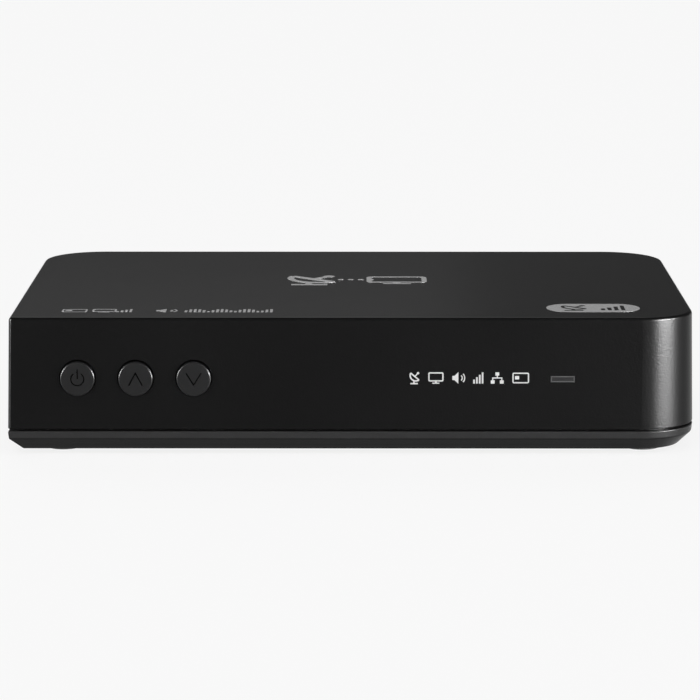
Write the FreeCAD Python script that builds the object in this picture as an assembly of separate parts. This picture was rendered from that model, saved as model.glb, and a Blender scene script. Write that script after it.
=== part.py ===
import FreeCAD, Part
import math
import os

from FreeCAD import Vector

# A compact satellite television receiver, in millimetres.
# +X is the viewer's right, +Y points to the rear and +Z is up. The origin is under the middle of the
# whole box, button caps and aerial stud included, on the surface that the feet stand on.

# ---------------------------------------------------------------- driving dimensions

# Case, measured at the shadow gap between the cover and the tray
WIDTH = 168.0
DEPTH = 108.0
COVER_HEIGHT = 27.45
DRAFT = 0.6               # each wall leans in by this much over the cover's height
FRONT_RIGHT_RADIUS = 13.7
REAR_RADIUS = 16.0        # the front-left corner is sharp
EDGE_RADIUS = 0.8
WALL = 2.2

# Tray, from the table up
FOOT_HEIGHT = 1.25
CHAMFER_HEIGHT = 3.1
CHAMFER_INSET = 3.43
LIP_HEIGHT = 1.85
LIP_DRAFT = 0.2
LIP_ROUND = 0.7           # between the lip and the chamfer
UNDERSIDE_ROUND = 0.5
RIM_ROUND = 0.2           # on both edges of the shadow gap
SHADOW_GAP = 0.6
FLOOR = 2.0
TONGUE_HEIGHT = 3.0
TONGUE_CLEARANCE = 0.25
TONGUE_THICKNESS = 1.2

FOOT_RADIUS = 5.0
FOOT_RECESS = 0.5
FRONT_FOOT_X = 71.4
FRONT_FOOT_SETBACK = 12.7
REAR_FOOT_X = 64.0
REAR_FOOT_SETBACK = 9.5

# Controls in the front wall
BUTTON_Z = 19.25
FIRST_BUTTON_X = -66.87
BUTTON_PITCH = 14.13
HOLE_RADIUS = 4.5
HOLE_RISE = 0.2          # the caps sit this far below the middle of their holes
CAP_RADIUS = 4.2
CAP_STAND = 0.8           # how far a cap stands out of the wall
CAP_RIM = 0.35
FLANGE_RADIUS = 5.4
STEM_RADIUS = 1.5
PLUNGER_RADIUS = 1.75
PLUNGER_HOLE_RADIUS = 2.05
TRAVEL = 0.4
WINDOW_X = 51.0
WINDOW_Z = 19.2
WINDOW_WIDTH = 5.9
WINDOW_HEIGHT = 1.6

# Symbols sunk into the caps
SYMBOL_STROKE = 0.32
SYMBOL_DEPTH = 0.4
RING_RADIUS = 1.58
RING_GAP_ANGLE = 35.0     # half of the ring's opening, in degrees
UP_HALF_WIDTH = 1.62
UP_HEIGHT = 3.05
DOWN_HALF_WIDTH = 1.78
DOWN_HEIGHT = 2.85

# Rear connectors
STUD_PROUD = 9.0
STUD_RADIUS = 4.76        # outside of the aerial connector's thread
STUD_X = 50.0
STUD_Z = 16.8
NETWORK_X = 24.0
VIDEO_X = 2.0
OPTICAL_X = -15.0
AUDIO_X = -28.5
DATA_X = -44.0
POWER_X = -59.0

BOARD_THICKNESS = 1.6
STANDOFF_TOP = 9.0
THREAD_CLEARANCE = 0.05

# ---------------------------------------------------------------- worked-out places

TRAY_Z = FOOT_HEIGHT
LIP_Z = TRAY_Z + CHAMFER_HEIGHT
RIM_Z = LIP_Z + LIP_HEIGHT
COVER_Z = RIM_Z + SHADOW_GAP
TOP_Z = COVER_Z + COVER_HEIGHT
ROOF_Z = TOP_Z - WALL
FLOOR_Z = TRAY_Z + FLOOR
TONGUE_Z = RIM_Z + TONGUE_HEIGHT
BOARD_TOP = STANDOFF_TOP + BOARD_THICKNESS


def lean(z):
    """How far a drafted wall has leaned in at one height."""
    return DRAFT * (z - COVER_Z) / COVER_HEIGHT


CAP_PROUD = CAP_STAND - lean(BUTTON_Z)
FRONT_Y = (CAP_PROUD - DEPTH - STUD_PROUD) / 2
REAR_Y = FRONT_Y + DEPTH
RIGHT_X = WIDTH / 2
LEFT_X = -RIGHT_X

# Stations behind the front wall's foot
PAD_Y = FRONT_Y + 3.3
FLANGE_Y = PAD_Y + 0.05
FLANGE_THICKNESS = 1.0
SWITCH_Y = FRONT_Y + 6.5
SWITCH_DEPTH = 3.4
PLUNGER_FRONT = SWITCH_Y - 0.6
PLUNGER_REAR = SWITCH_Y + 1.8
FRONT_BOARD_Y = SWITCH_Y + SWITCH_DEPTH
FRONT_BOARD_REAR = FRONT_BOARD_Y + BOARD_THICKNESS
BUTTON_XS = [FIRST_BUTTON_X + i * BUTTON_PITCH for i in range(3)]

# Case posts, outside the main board
POST_X = 75.2
POST_YS = (-32.0, 32.0)
POST_RADIUS = 4.0
POST_Z = 12.0
CASE_SCREW_RADIUS = 1.5
CASE_SCREW_LENGTH = 15.0
HEAD_RECESS_RADIUS = 3.0
HEAD_RECESS_DEPTH = 3.0

# Main board
MAIN_HALF_WIDTH = 70.5
MAIN_FRONT_Y = FRONT_Y + 14.0
MAIN_REAR_Y = REAR_Y - 4.5
STANDOFF_RADIUS = 3.0
BOARD_SCREW_RADIUS = 1.2
BOARD_SCREW_LENGTH = 5.6
STANDOFFS = ((-67.0, -38.0), (67.0, -38.0), (-67.0, 36.0), (67.0, 36.0), (-20.0, -38.0), (28.0, -22.0))

# Front board and the posts that carry it
FRONT_BOARD_LEFT = -76.0
FRONT_BOARD_RIGHT = 60.0
FRONT_BOARD_LOW = 12.0
FRONT_BOARD_HIGH = 30.0
FRONT_POSTS = ((FIRST_BUTTON_X + 1.5 * BUTTON_PITCH, 26.6), (-18.0, BUTTON_Z), (30.0, BUTTON_Z))
FRONT_POST_RADIUS = 2.6
FRONT_SCREW_RADIUS = 1.1
FRONT_SCREW_LENGTH = 6.0

# Rear panel
PANEL_HALF_WIDTH = 63.8
PANEL_TOP = 30.0
PANEL_OUTER_Y = REAR_Y - 0.8
PANEL_INNER_Y = REAR_Y - 3.0
PANEL_CLEARANCE = 0.2
PANEL_FLANGE_THICKNESS = 1.2
PANEL_FLANGE_REACH = 2.5
SOCKET_CLEARANCE = 0.25
MOUTH_Y = PANEL_OUTER_Y + 0.3      # where the sockets' faces end, just proud of the panel

# Card reader behind the slot in the left wall
SLOT_HALF_LENGTH = 28.2
SLOT_Z = 13.2
SLOT_HEIGHT = 2.0
READER_HALF_LENGTH = 28.0
READER_LEFT = LEFT_X + WALL + 0.9
READER_RIGHT = -38.0
READER_TOP = 15.6
CARD_GAP = 0.9
CARD_HALF_WIDTH = 27.2


# ---------------------------------------------------------------- shapes used throughout

def block(x0, x1, y0, y1, z0, z1):
    """A block between two opposite corners."""
    return Part.makeBox(x1 - x0, y1 - y0, z1 - z0, Vector(x0, y0, z0))


def upright(radius, x, y, z0, z1):
    """A cylinder that stands from one height to another."""
    return Part.makeCylinder(radius, z1 - z0, Vector(x, y, z0))


def lying(radius, x, z, y0, y1):
    """A cylinder along Y, from the front end to the rear end."""
    return Part.makeCylinder(radius, y1 - y0, Vector(x, y0, z), Vector(0, 1, 0))


def prism(points, direction):
    """A closed polygon pushed along a direction."""
    wire = Part.makePolygon([Vector(*point) for point in points + points[:1]])
    return Part.Face(wire).extrude(Vector(*direction))


def fuse(shapes):
    """Several overlapping or touching shapes joined into one."""
    joined = shapes[0].multiFuse(shapes[1:])
    return joined.removeSplitter()


def cut(shape, tools):
    """A shape with all the tools taken out of it."""
    return shape.cut(Part.makeCompound(tools)) if tools else shape


def quarter(centre, radius, start_degrees, z):
    """A corner arc of 90 degrees in the plan, anticlockwise."""
    points = []
    for turn in (0, 45, 90):
        angle = math.radians(start_degrees + turn)
        points.append(Vector(centre[0] + radius * math.cos(angle), centre[1] + radius * math.sin(angle), z))
    return Part.Arc(*points).toShape()


def outline(inset, z):
    """The case's plan at one height, moved inwards: three rounded corners and a sharp one, front left."""
    left, right = LEFT_X + inset, RIGHT_X - inset
    front, rear = FRONT_Y + inset, REAR_Y - inset
    front_radius = FRONT_RIGHT_RADIUS - inset
    rear_radius = REAR_RADIUS - inset
    corners = [
        quarter((right - front_radius, front + front_radius), front_radius, -90, z),
        quarter((right - rear_radius, rear - rear_radius), rear_radius, 0, z),
        quarter((left + rear_radius, rear - rear_radius), rear_radius, 90, z),
    ]
    edges = []
    last = Vector(left, front, z)
    for corner in corners:
        edges.append(Part.makeLine(last, corner.firstVertex(True).Point))
        edges.append(corner)
        last = corner.lastVertex(True).Point
    edges.append(Part.makeLine(last, Vector(left, front, z)))
    return Part.Wire(edges)


def stack(sections):
    """A solid through outlines at several (inset, height) levels, straight between them."""
    return Part.makeLoft([outline(inset, z) for inset, z in sections], True, True)


def level_edges(shape, z):
    """The edges of a shape that lie at one height."""
    return [
        edge for edge in shape.Edges
        if edge.BoundBox.ZLength < 0.01 and abs(edge.BoundBox.ZMin - z) < 0.01]


def sharp_corner_edges(shape):
    """The upright edges at the case's front-left corner."""
    found = []
    for edge in shape.Edges:
        middle = edge.CenterOfMass
        if edge.BoundBox.ZLength > 0.5 and middle.x < LEFT_X + 1 and middle.y < FRONT_Y + 1:
            found.append(edge)
    return found


def rounded_section(corners):
    """A closed section through the front wall from (inset, height, rounding) corners."""
    runs = []
    for i, (inset, z, radius) in enumerate(corners):
        here = Vector(0, FRONT_Y + inset, z)
        if not radius:
            runs.append((here, None, here))
            continue
        before, after = corners[i - 1], corners[(i + 1) % len(corners)]
        back = (Vector(0, FRONT_Y + before[0], before[1]) - here).normalize()
        ahead = (Vector(0, FRONT_Y + after[0], after[1]) - here).normalize()
        half_angle = back.getAngle(ahead) / 2
        reach = radius / math.tan(half_angle)
        to_centre = (back + ahead).normalize()
        middle = here + to_centre * (radius / math.sin(half_angle) - radius)
        runs.append((here + back * reach, middle, here + ahead * reach))
    edges = []
    for i, (start, middle, end) in enumerate(runs):
        if middle:
            edges.append(Part.Arc(start, middle, end).toShape())
        edges.append(Part.makeLine(end, runs[(i + 1) % len(runs)][0]))
    return Part.Wire(edges)


def swept_border(corners):
    """A section of (inset, height, rounding) corners carried round the case, mitred at its sharp corner."""
    front, *others = outline(0, corners[-1][1]).Edges
    start = Vector(0, FRONT_Y, corners[-1][1])
    left_end, right_end = front.firstVertex(True).Point, front.lastVertex(True).Point
    path = Part.Wire([Part.makeLine(start, right_end)] + others + [Part.makeLine(left_end, start)])
    mitred = 1
    return path.makePipeShell([rounded_section(corners)], True, False, mitred)


def pan_screw(seat, direction, radius, length):
    """A pan-head screw whose head sits at the seat and whose shank runs along the direction."""
    head_radius = 1.75 * radius
    head_height = 1.2 * radius
    head = Part.makeCylinder(head_radius, head_height, Vector(0, 0, -head_height))
    crown = [edge for edge in head.Edges if abs(edge.CenterOfMass.z + head_height) < 0.01]
    head = head.makeFillet(0.4 * head_height, crown)
    shank = Part.makeCylinder(radius, length - radius)
    point = Part.makeCone(radius, 0.3 * radius, radius, Vector(0, 0, length - radius))
    arm = 0.9 * radius
    blade = 0.32 * radius
    recess = [
        block(-arm, arm, -blade / 2, blade / 2, -head_height - 1, -0.4 * head_height),
        block(-blade / 2, blade / 2, -arm, arm, -head_height - 1, -0.4 * head_height),
    ]
    screw = cut(fuse([head, shank, point]), recess)
    screw.Placement = FreeCAD.Placement(Vector(*seat), FreeCAD.Rotation(Vector(0, 0, 1), Vector(*direction)))
    return screw


def slot_cutter(x0, x1, y, width, z0, z1):
    """A round-ended slot along X, as a solid to cut with."""
    half = width / 2
    return fuse([
        block(x0 + half, x1 - half, y - half, y + half, z0, z1),
        upright(half, x0 + half, y, z0, z1),
        upright(half, x1 - half, y, z0, z1),
    ])


# ---------------------------------------------------------------- case

def make_top_cover():
    """The moulded shell: roof and four walls, with the holes, pads and posts of its controls."""
    shell = stack([(0, COVER_Z), (DRAFT, TOP_Z)])
    shell = shell.makeFillet(EDGE_RADIUS, level_edges(shell, TOP_Z) + sharp_corner_edges(shell))
    shell = shell.makeFillet(RIM_ROUND, level_edges(shell, COVER_Z))
    cavity = stack([(WALL, COVER_Z), (WALL + DRAFT * (1 - WALL / COVER_HEIGHT), ROOF_Z)])

    button_pad = block(
        BUTTON_XS[0] - 7, BUTTON_XS[-1] + 7, FRONT_Y + 1.2, PAD_Y, BUTTON_Z - 7, BUTTON_Z + 7)
    window_pad = block(
        WINDOW_X - 5.5, WINDOW_X + 5.5, FRONT_Y + 1.2, PAD_Y - 0.5, WINDOW_Z - 4, WINDOW_Z + 4)
    front_posts = [
        lying(FRONT_POST_RADIUS, x, z, FRONT_Y + 1.5, FRONT_BOARD_Y) for x, z in FRONT_POSTS]
    case_posts = [
        upright(POST_RADIUS, side * POST_X, y, POST_Z, TOP_Z - WALL / 2) for side in (-1, 1) for y in POST_YS]
    cover = fuse([shell.cut(cavity), button_pad, window_pad] + front_posts + case_posts)

    holes = [lying(HOLE_RADIUS, x, BUTTON_Z + HOLE_RISE, FRONT_Y - 1, PAD_Y + 1) for x in BUTTON_XS]
    holes.append(block(
        WINDOW_X - WINDOW_WIDTH / 2, WINDOW_X + WINDOW_WIDTH / 2, FRONT_Y - 1, PAD_Y + 1,
        WINDOW_Z - WINDOW_HEIGHT / 2, WINDOW_Z + WINDOW_HEIGHT / 2))
    pilot_radius = FRONT_SCREW_RADIUS + THREAD_CLEARANCE
    pilot_end = FRONT_BOARD_Y - FRONT_SCREW_LENGTH
    holes += [lying(pilot_radius, x, z, pilot_end, FRONT_BOARD_Y + 1) for x, z in FRONT_POSTS]
    holes += [
        upright(CASE_SCREW_RADIUS + THREAD_CLEARANCE, side * POST_X, y, POST_Z - 1, POST_Z + 10)
        for side in (-1, 1) for y in POST_YS]
    opening = PANEL_HALF_WIDTH + PANEL_CLEARANCE
    holes.append(block(
        -opening, opening, PANEL_INNER_Y - 0.5, REAR_Y + 1, COVER_Z - 1, PANEL_TOP + PANEL_CLEARANCE))
    holes.append(block(
        LEFT_X - 1, LEFT_X + WALL + 1, -SLOT_HALF_LENGTH, SLOT_HALF_LENGTH,
        SLOT_Z - SLOT_HEIGHT / 2, SLOT_Z + SLOT_HEIGHT / 2))
    return cut(cover, holes)


def make_base_tray():
    """The moulded tray: lip and chamfer outside, tongue, posts, standoffs and vents inside."""
    tongue_inset = WALL + TONGUE_CLEARANCE
    hollow_inset = tongue_inset + TONGUE_THICKNESS
    border_width = 9.0
    border = swept_border([
        (border_width, TRAY_Z, 0), (CHAMFER_INSET, TRAY_Z, UNDERSIDE_ROUND), (LIP_DRAFT, LIP_Z, LIP_ROUND),
        (0, RIM_Z, RIM_ROUND), (border_width, RIM_Z, 0)])
    middle = stack([(border_width - 0.5, TRAY_Z), (border_width - 0.5, RIM_Z)])
    body = fuse([middle, border])
    tongue = stack([(tongue_inset, LIP_Z), (tongue_inset, TONGUE_Z)])
    hollow = stack([(hollow_inset + 1.4, FLOOR_Z), (hollow_inset, LIP_Z), (hollow_inset, TONGUE_Z + 1)])
    tray = fuse([body, tongue]).cut(hollow)
    rear_gap = block(
        -PANEL_HALF_WIDTH - 3.5, PANEL_HALF_WIDTH + 3.5, REAR_Y - 8, REAR_Y + 1, RIM_Z, TONGUE_Z + 1)
    tray = tray.cut(rear_gap)

    corners = [(side * POST_X, y) for side in (-1, 1) for y in POST_YS]
    posts = [upright(POST_RADIUS, x, y, FLOOR_Z - 1, POST_Z) for x, y in corners]
    standoffs = [upright(STANDOFF_RADIUS, x, y, FLOOR_Z - 1, STANDOFF_TOP) for x, y in STANDOFFS]
    tray = fuse([tray] + posts + standoffs)

    tools = []
    for x, y in corners:
        tools.append(upright(CASE_SCREW_RADIUS + 0.2, x, y, TRAY_Z - 1, POST_Z + 1))
        tools.append(upright(HEAD_RECESS_RADIUS, x, y, TRAY_Z - 1, TRAY_Z + HEAD_RECESS_DEPTH))
    for x, y in STANDOFFS:
        tools.append(upright(BOARD_SCREW_RADIUS + THREAD_CLEARANCE, x, y, FLOOR_Z + 0.5, STANDOFF_TOP + 1))
    for x, y in foot_places():
        tools.append(upright(FOOT_RADIUS + 0.1, x, y, TRAY_Z - 1, TRAY_Z + FOOT_RECESS))
    vent_pitch = 5.0
    vent_reach = 22.0
    for row in range(-4, 4):
        y = vent_pitch * (row + 0.5) + 2.0
        for side in (-1, 1):
            start, end = sorted((side * 4.0, side * (4.0 + vent_reach)))
            tools.append(slot_cutter(start, end, y, 2.0, TRAY_Z - 1, FLOOR_Z + 1))
    return cut(tray, tools)


def foot_places():
    """Where the four feet stand."""
    front = FRONT_Y + FRONT_FOOT_SETBACK
    rear = REAR_Y - REAR_FOOT_SETBACK
    return [
        (-FRONT_FOOT_X, front), (FRONT_FOOT_X, front),
        (-REAR_FOOT_X, rear), (REAR_FOOT_X, rear),
    ]


def make_feet():
    """Four rubber discs set into shallow recesses of the tray."""
    feet = []
    for x, y in foot_places():
        foot = upright(FOOT_RADIUS, x, y, 0, TRAY_Z + FOOT_RECESS)
        rim = [edge for edge in foot.Edges if abs(edge.CenterOfMass.z) < 0.01]
        feet.append(foot.makeFillet(0.4, rim))
    return Part.makeCompound(feet)


def make_case_screws():
    """Four screws from below, through the tray's posts into the cover's."""
    seat = TRAY_Z + HEAD_RECESS_DEPTH
    return Part.makeCompound([
        pan_screw((side * POST_X, y, seat), (0, 0, 1), CASE_SCREW_RADIUS, CASE_SCREW_LENGTH)
        for side in (-1, 1) for y in POST_YS])


def socket_windows():
    """The holes in the rear panel, one for each connector, with clearance."""
    y0, y1 = PANEL_INNER_Y - 3, PANEL_OUTER_Y + 1
    gap = SOCKET_CLEARANCE
    holes = [lying(STUD_RADIUS + gap, STUD_X, STUD_Z, y0, y1)]
    holes.append(lying(AUDIO_NOSE_RADIUS + gap, AUDIO_X, AUDIO_Z, y0, y1))
    for centre, width, height in (
            (NETWORK_X, NETWORK_WIDTH, NETWORK_HEIGHT), (VIDEO_X, VIDEO_WIDTH, VIDEO_HEIGHT),
            (OPTICAL_X, OPTICAL_WIDTH, OPTICAL_HEIGHT), (DATA_X, DATA_WIDTH, DATA_HEIGHT),
            (POWER_X, POWER_WIDTH, POWER_HEIGHT)):
        half = width / 2 + gap
        holes.append(block(centre - half, centre + half, y0, y1, BOARD_TOP - gap, BOARD_TOP + height + gap))
    return holes


def make_rear_panel():
    """The plate that closes the cover's rear opening, with a flange behind the wall and a row of vents."""
    plate = block(
        -PANEL_HALF_WIDTH, PANEL_HALF_WIDTH, PANEL_INNER_Y, PANEL_OUTER_Y, RIM_Z, PANEL_TOP)
    reach = PANEL_HALF_WIDTH + PANEL_FLANGE_REACH
    flange = block(
        -reach, reach, PANEL_INNER_Y - PANEL_FLANGE_THICKNESS, PANEL_INNER_Y, TONGUE_Z + 0.3, PANEL_TOP + 1.6)
    holes = socket_windows()
    vent_count = 12
    vent_pitch = 9.2
    vent_half_width = 3.3
    vent_low, vent_high = 25.9, 27.9
    for i in range(vent_count):
        x = (i - (vent_count - 1) / 2) * vent_pitch
        left, right = x - vent_half_width, x + vent_half_width
        holes.append(block(left, right, PANEL_INNER_Y - 3, PANEL_OUTER_Y + 1, vent_low, vent_high))
    return cut(fuse([plate, flange]), holes)


# ---------------------------------------------------------------- controls

def stroke(start, end, front):
    """A round-ended groove cutter between two (x, z) points, sunk from the cap's front."""
    half = SYMBOL_STROKE / 2
    run = Vector(end[0] - start[0], 0, end[1] - start[1])
    side = Vector(-run.z, 0, run.x).normalize().multiply(half)
    low, high = Vector(start[0], front - 1, start[1]), Vector(end[0], front - 1, end[1])
    depth = 1 + SYMBOL_DEPTH
    bar = prism([tuple(low + side), tuple(high + side), tuple(high - side), tuple(low - side)], (0, depth, 0))
    ends = [lying(half, x, z, front - 1, front + SYMBOL_DEPTH) for x, z in (start, end)]
    return fuse([bar] + ends)


def power_symbol(x, front):
    """The usual standby sign: a ring that is open at the top, and a bar through the opening."""
    half = SYMBOL_STROKE / 2
    ring = lying(RING_RADIUS + half, x, BUTTON_Z, front - 1, front + SYMBOL_DEPTH).cut(
        lying(RING_RADIUS - half, x, BUTTON_Z, front - 2, front + 2))
    reach = 3 * RING_RADIUS
    spread = reach * math.tan(math.radians(RING_GAP_ANGLE))
    wedge = prism([
        (x, front - 2, BUTTON_Z), (x - spread, front - 2, BUTTON_Z + reach),
        (x + spread, front - 2, BUTTON_Z + reach)], (0, 4, 0))
    bar = stroke((x, BUTTON_Z), (x, BUTTON_Z + 2.3), front)
    return [ring.cut(wedge), bar]


def chevron(x, half_width, height, front):
    """Two strokes that meet in a point: upwards for a positive height, downwards for a negative one."""
    apex = (x, BUTTON_Z + height / 2)
    foot_z = BUTTON_Z - height / 2
    return [
        stroke((x - half_width, foot_z), apex, front),
        stroke((x + half_width, foot_z), apex, front),
    ]


def make_cap(x, symbol):
    """A round push button: a rimmed cap, a flange behind the wall and a stem to its switch."""
    front = FRONT_Y - CAP_PROUD
    cap = lying(CAP_RADIUS, x, BUTTON_Z, front, FLANGE_Y + FLANGE_THICKNESS)
    rim = [edge for edge in cap.Edges if abs(edge.CenterOfMass.y - front) < 0.01]
    cap = cap.makeFillet(CAP_RIM, rim)
    flange = lying(FLANGE_RADIUS, x, BUTTON_Z, FLANGE_Y, FLANGE_Y + FLANGE_THICKNESS)
    stem = lying(STEM_RADIUS, x, BUTTON_Z, FLANGE_Y, PLUNGER_FRONT)
    return cut(fuse([cap, flange, stem]), symbol)


def make_plunger(x):
    """The switch's own plunger, which the stem rests on."""
    return lying(PLUNGER_RADIUS, x, BUTTON_Z, PLUNGER_FRONT, PLUNGER_REAR)


def make_switch_bodies():
    """Three square push switches on the front board."""
    switches = []
    half = 3.0
    for x in BUTTON_XS:
        body = block(x - half, x + half, SWITCH_Y, FRONT_BOARD_Y, BUTTON_Z - half, BUTTON_Z + half)
        well = lying(PLUNGER_HOLE_RADIUS, x, BUTTON_Z, SWITCH_Y - 1, PLUNGER_REAR + TRAVEL + 0.2)
        switches.append(body.cut(well))
    return Part.makeCompound(switches)


def make_status_window():
    """The dark window: a face flush with the wall, and a flange glued to the pad behind it."""
    clearance = 0.08
    half_width = WINDOW_WIDTH / 2 - clearance
    half_height = WINDOW_HEIGHT / 2 - clearance
    pad = PAD_Y - 0.5
    face = block(
        WINDOW_X - half_width, WINDOW_X + half_width, FRONT_Y + lean(WINDOW_Z) + 0.1, pad,
        WINDOW_Z - half_height, WINDOW_Z + half_height)
    flange = block(WINDOW_X - 5, WINDOW_X + 5, pad, pad + 1, WINDOW_Z - 3, WINDOW_Z + 3)
    return fuse([face, flange])


def make_infrared_receiver():
    """A small block with a domed lens, behind the window's right-hand part."""
    x = WINDOW_X + 1.4
    body = block(x - 2.8, x + 2.8, FRONT_BOARD_Y - 3.4, FRONT_BOARD_Y, WINDOW_Z - 3.4, WINDOW_Z + 3.4)
    return fuse([body, lying(1.6, x, WINDOW_Z, FRONT_BOARD_Y - 4.8, FRONT_BOARD_Y - 3)])


def make_standby_lamp():
    """A lamp on the front board, behind the window's left-hand part."""
    x = WINDOW_X - 3.2
    base = block(x - 1.2, x + 1.2, FRONT_BOARD_Y - 1.5, FRONT_BOARD_Y, WINDOW_Z - 1.2, WINDOW_Z + 1.2)
    return fuse([base, lying(0.9, x, WINDOW_Z, FRONT_BOARD_Y - 3.2, FRONT_BOARD_Y - 1)])


def make_front_board():
    """The upright board that carries the switches, the lamp and the infrared receiver."""
    board = block(
        FRONT_BOARD_LEFT, FRONT_BOARD_RIGHT, FRONT_BOARD_Y, FRONT_BOARD_REAR,
        FRONT_BOARD_LOW, FRONT_BOARD_HIGH)
    radius = FRONT_SCREW_RADIUS + 0.2
    return cut(board, [lying(radius, x, z, FRONT_BOARD_Y - 1, FRONT_BOARD_REAR + 1) for x, z in FRONT_POSTS])


def make_front_board_screws():
    """Three screws that hold the front board to the cover's posts."""
    return Part.makeCompound([
        pan_screw((x, FRONT_BOARD_REAR, z), (0, -1, 0), FRONT_SCREW_RADIUS, FRONT_SCREW_LENGTH)
        for x, z in FRONT_POSTS])


# ---------------------------------------------------------------- link between the boards

LINK_X = 8.0
LINK_HALF_WIDTH = 8.0
LINK_Z = 19.0
LINK_BEND = 4.0
RIBBON_THICKNESS = 0.4
FRONT_LINK_REAR = FRONT_BOARD_REAR + 3.0
MAIN_LINK_Y = FRONT_LINK_REAR + 2.0 + LINK_BEND
MAIN_LINK_TOP = BOARD_TOP + 3.6


def make_front_link_socket():
    """The ribbon's socket on the back of the front board."""
    return block(
        LINK_X - LINK_HALF_WIDTH, LINK_X + LINK_HALF_WIDTH, FRONT_BOARD_REAR, FRONT_LINK_REAR,
        LINK_Z - 2, LINK_Z + 2)


def make_main_link_socket():
    """The ribbon's socket on the main board."""
    return block(
        LINK_X - LINK_HALF_WIDTH, LINK_X + LINK_HALF_WIDTH, MAIN_LINK_Y - 2, MAIN_LINK_Y + 2,
        BOARD_TOP, MAIN_LINK_TOP)


def make_link_ribbon():
    """A flat ribbon that leaves one socket to the rear and turns down into the other."""
    half = RIBBON_THICKNESS / 2
    x0 = LINK_X - LINK_HALF_WIDTH + 1
    width = 2 * (LINK_HALF_WIDTH - 1)
    bend_y = MAIN_LINK_Y - LINK_BEND
    bend_z = LINK_Z - LINK_BEND
    sector = 1 / math.sqrt(2)

    def edge(radius):
        start = Vector(x0, bend_y, bend_z + radius)
        middle = Vector(x0, bend_y + radius * sector, bend_z + radius * sector)
        end = Vector(x0, bend_y + radius, bend_z)
        return start, Part.Arc(start, middle, end).toShape(), end

    outer_start, outer_arc, outer_end = edge(LINK_BEND + half)
    inner_start, inner_arc, inner_end = edge(LINK_BEND - half)
    outer_top = Vector(x0, FRONT_LINK_REAR, outer_start.z)
    inner_top = Vector(x0, FRONT_LINK_REAR, inner_start.z)
    outer_foot = Vector(x0, outer_end.y, MAIN_LINK_TOP)
    inner_foot = Vector(x0, inner_end.y, MAIN_LINK_TOP)
    wire = Part.Wire([
        Part.makeLine(outer_top, outer_start), outer_arc, Part.makeLine(outer_end, outer_foot),
        Part.makeLine(outer_foot, inner_foot), Part.makeLine(inner_foot, inner_end), inner_arc,
        Part.makeLine(inner_start, inner_top), Part.makeLine(inner_top, outer_top)])
    return Part.Face(wire).extrude(Vector(width, 0, 0))


# ---------------------------------------------------------------- main board and what stands on it

def make_main_board():
    """The main circuit board, on the tray's standoffs."""
    board = block(
        -MAIN_HALF_WIDTH, MAIN_HALF_WIDTH, MAIN_FRONT_Y, MAIN_REAR_Y, STANDOFF_TOP, BOARD_TOP)
    radius = BOARD_SCREW_RADIUS + 0.2
    return cut(board, [upright(radius, x, y, STANDOFF_TOP - 1, BOARD_TOP + 1) for x, y in STANDOFFS])


def make_board_screws():
    """Six screws that hold the main board down."""
    return Part.makeCompound([
        pan_screw((x, y, BOARD_TOP), (0, 0, -1), BOARD_SCREW_RADIUS, BOARD_SCREW_LENGTH)
        for x, y in STANDOFFS])


CHIP_X = 6.0
CHIP_Y = -10.0
CHIP_HALF = 9.5
CHIP_TOP = BOARD_TOP + 1.6
PAD_TOP = CHIP_TOP + 0.5
SINK_HALF = 14.0
SINK_BASE = 2.0
SINK_HEIGHT = 10.0
FIN_COUNT = 9
FIN_THICKNESS = 1.2


def make_processor():
    """The receiver's main chip."""
    return block(
        CHIP_X - CHIP_HALF, CHIP_X + CHIP_HALF, CHIP_Y - CHIP_HALF, CHIP_Y + CHIP_HALF, BOARD_TOP, CHIP_TOP)


def make_thermal_pad():
    """A soft pad between the main chip and its heat sink."""
    half = CHIP_HALF - 0.5
    return block(CHIP_X - half, CHIP_X + half, CHIP_Y - half, CHIP_Y + half, CHIP_TOP, PAD_TOP)


def make_heat_sink():
    """An extruded heat sink with upright fins."""
    base = block(
        CHIP_X - SINK_HALF, CHIP_X + SINK_HALF, CHIP_Y - SINK_HALF, CHIP_Y + SINK_HALF,
        PAD_TOP, PAD_TOP + SINK_BASE)
    fins = []
    pitch = (2 * SINK_HALF - FIN_THICKNESS) / (FIN_COUNT - 1)
    for i in range(FIN_COUNT):
        x = CHIP_X - SINK_HALF + i * pitch
        fins.append(block(
            x, x + FIN_THICKNESS, CHIP_Y - SINK_HALF, CHIP_Y + SINK_HALF,
            PAD_TOP + SINK_BASE, PAD_TOP + SINK_HEIGHT))
    return fuse([base] + fins)


def make_memory_chips():
    """Two memory chips beside the main chip."""
    lefts = (CHIP_X - 12.0, CHIP_X + 1.0)
    width, length, height = 10.0, 9.0, 1.1
    return Part.makeCompound([
        block(x, x + width, 8.0, 8.0 + length, BOARD_TOP, BOARD_TOP + height) for x in lefts])


def make_flash_chip():
    """The chip that holds the receiver's program."""
    return block(-31.0, -19.0, -12.0, 6.0, BOARD_TOP, BOARD_TOP + 1.2)


def make_board_chips():
    """The power converters and the network chip."""
    places = ((-35.0, 31.0, 2.6), (24.0, 14.0, 4.0), (-26.0, 20.0, 3.0))
    return Part.makeCompound([
        block(x - half, x + half, y - half, y + half, BOARD_TOP, BOARD_TOP + 1.5) for x, y, half in places])


def make_capacitors():
    """Upright electrolytic capacitors."""
    places = ((-32.0, -32.0, 4.0, 12.0), (-42.0, -34.0, 4.0, 12.0), (-54.0, -35.0, 5.0, 13.0),
              (40.0, -30.0, 4.0, 11.0), (52.0, -30.0, 4.0, 11.0))
    return Part.makeCompound([
        upright(radius, x, y, BOARD_TOP, BOARD_TOP + height) for x, y, radius, height in places])


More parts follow.
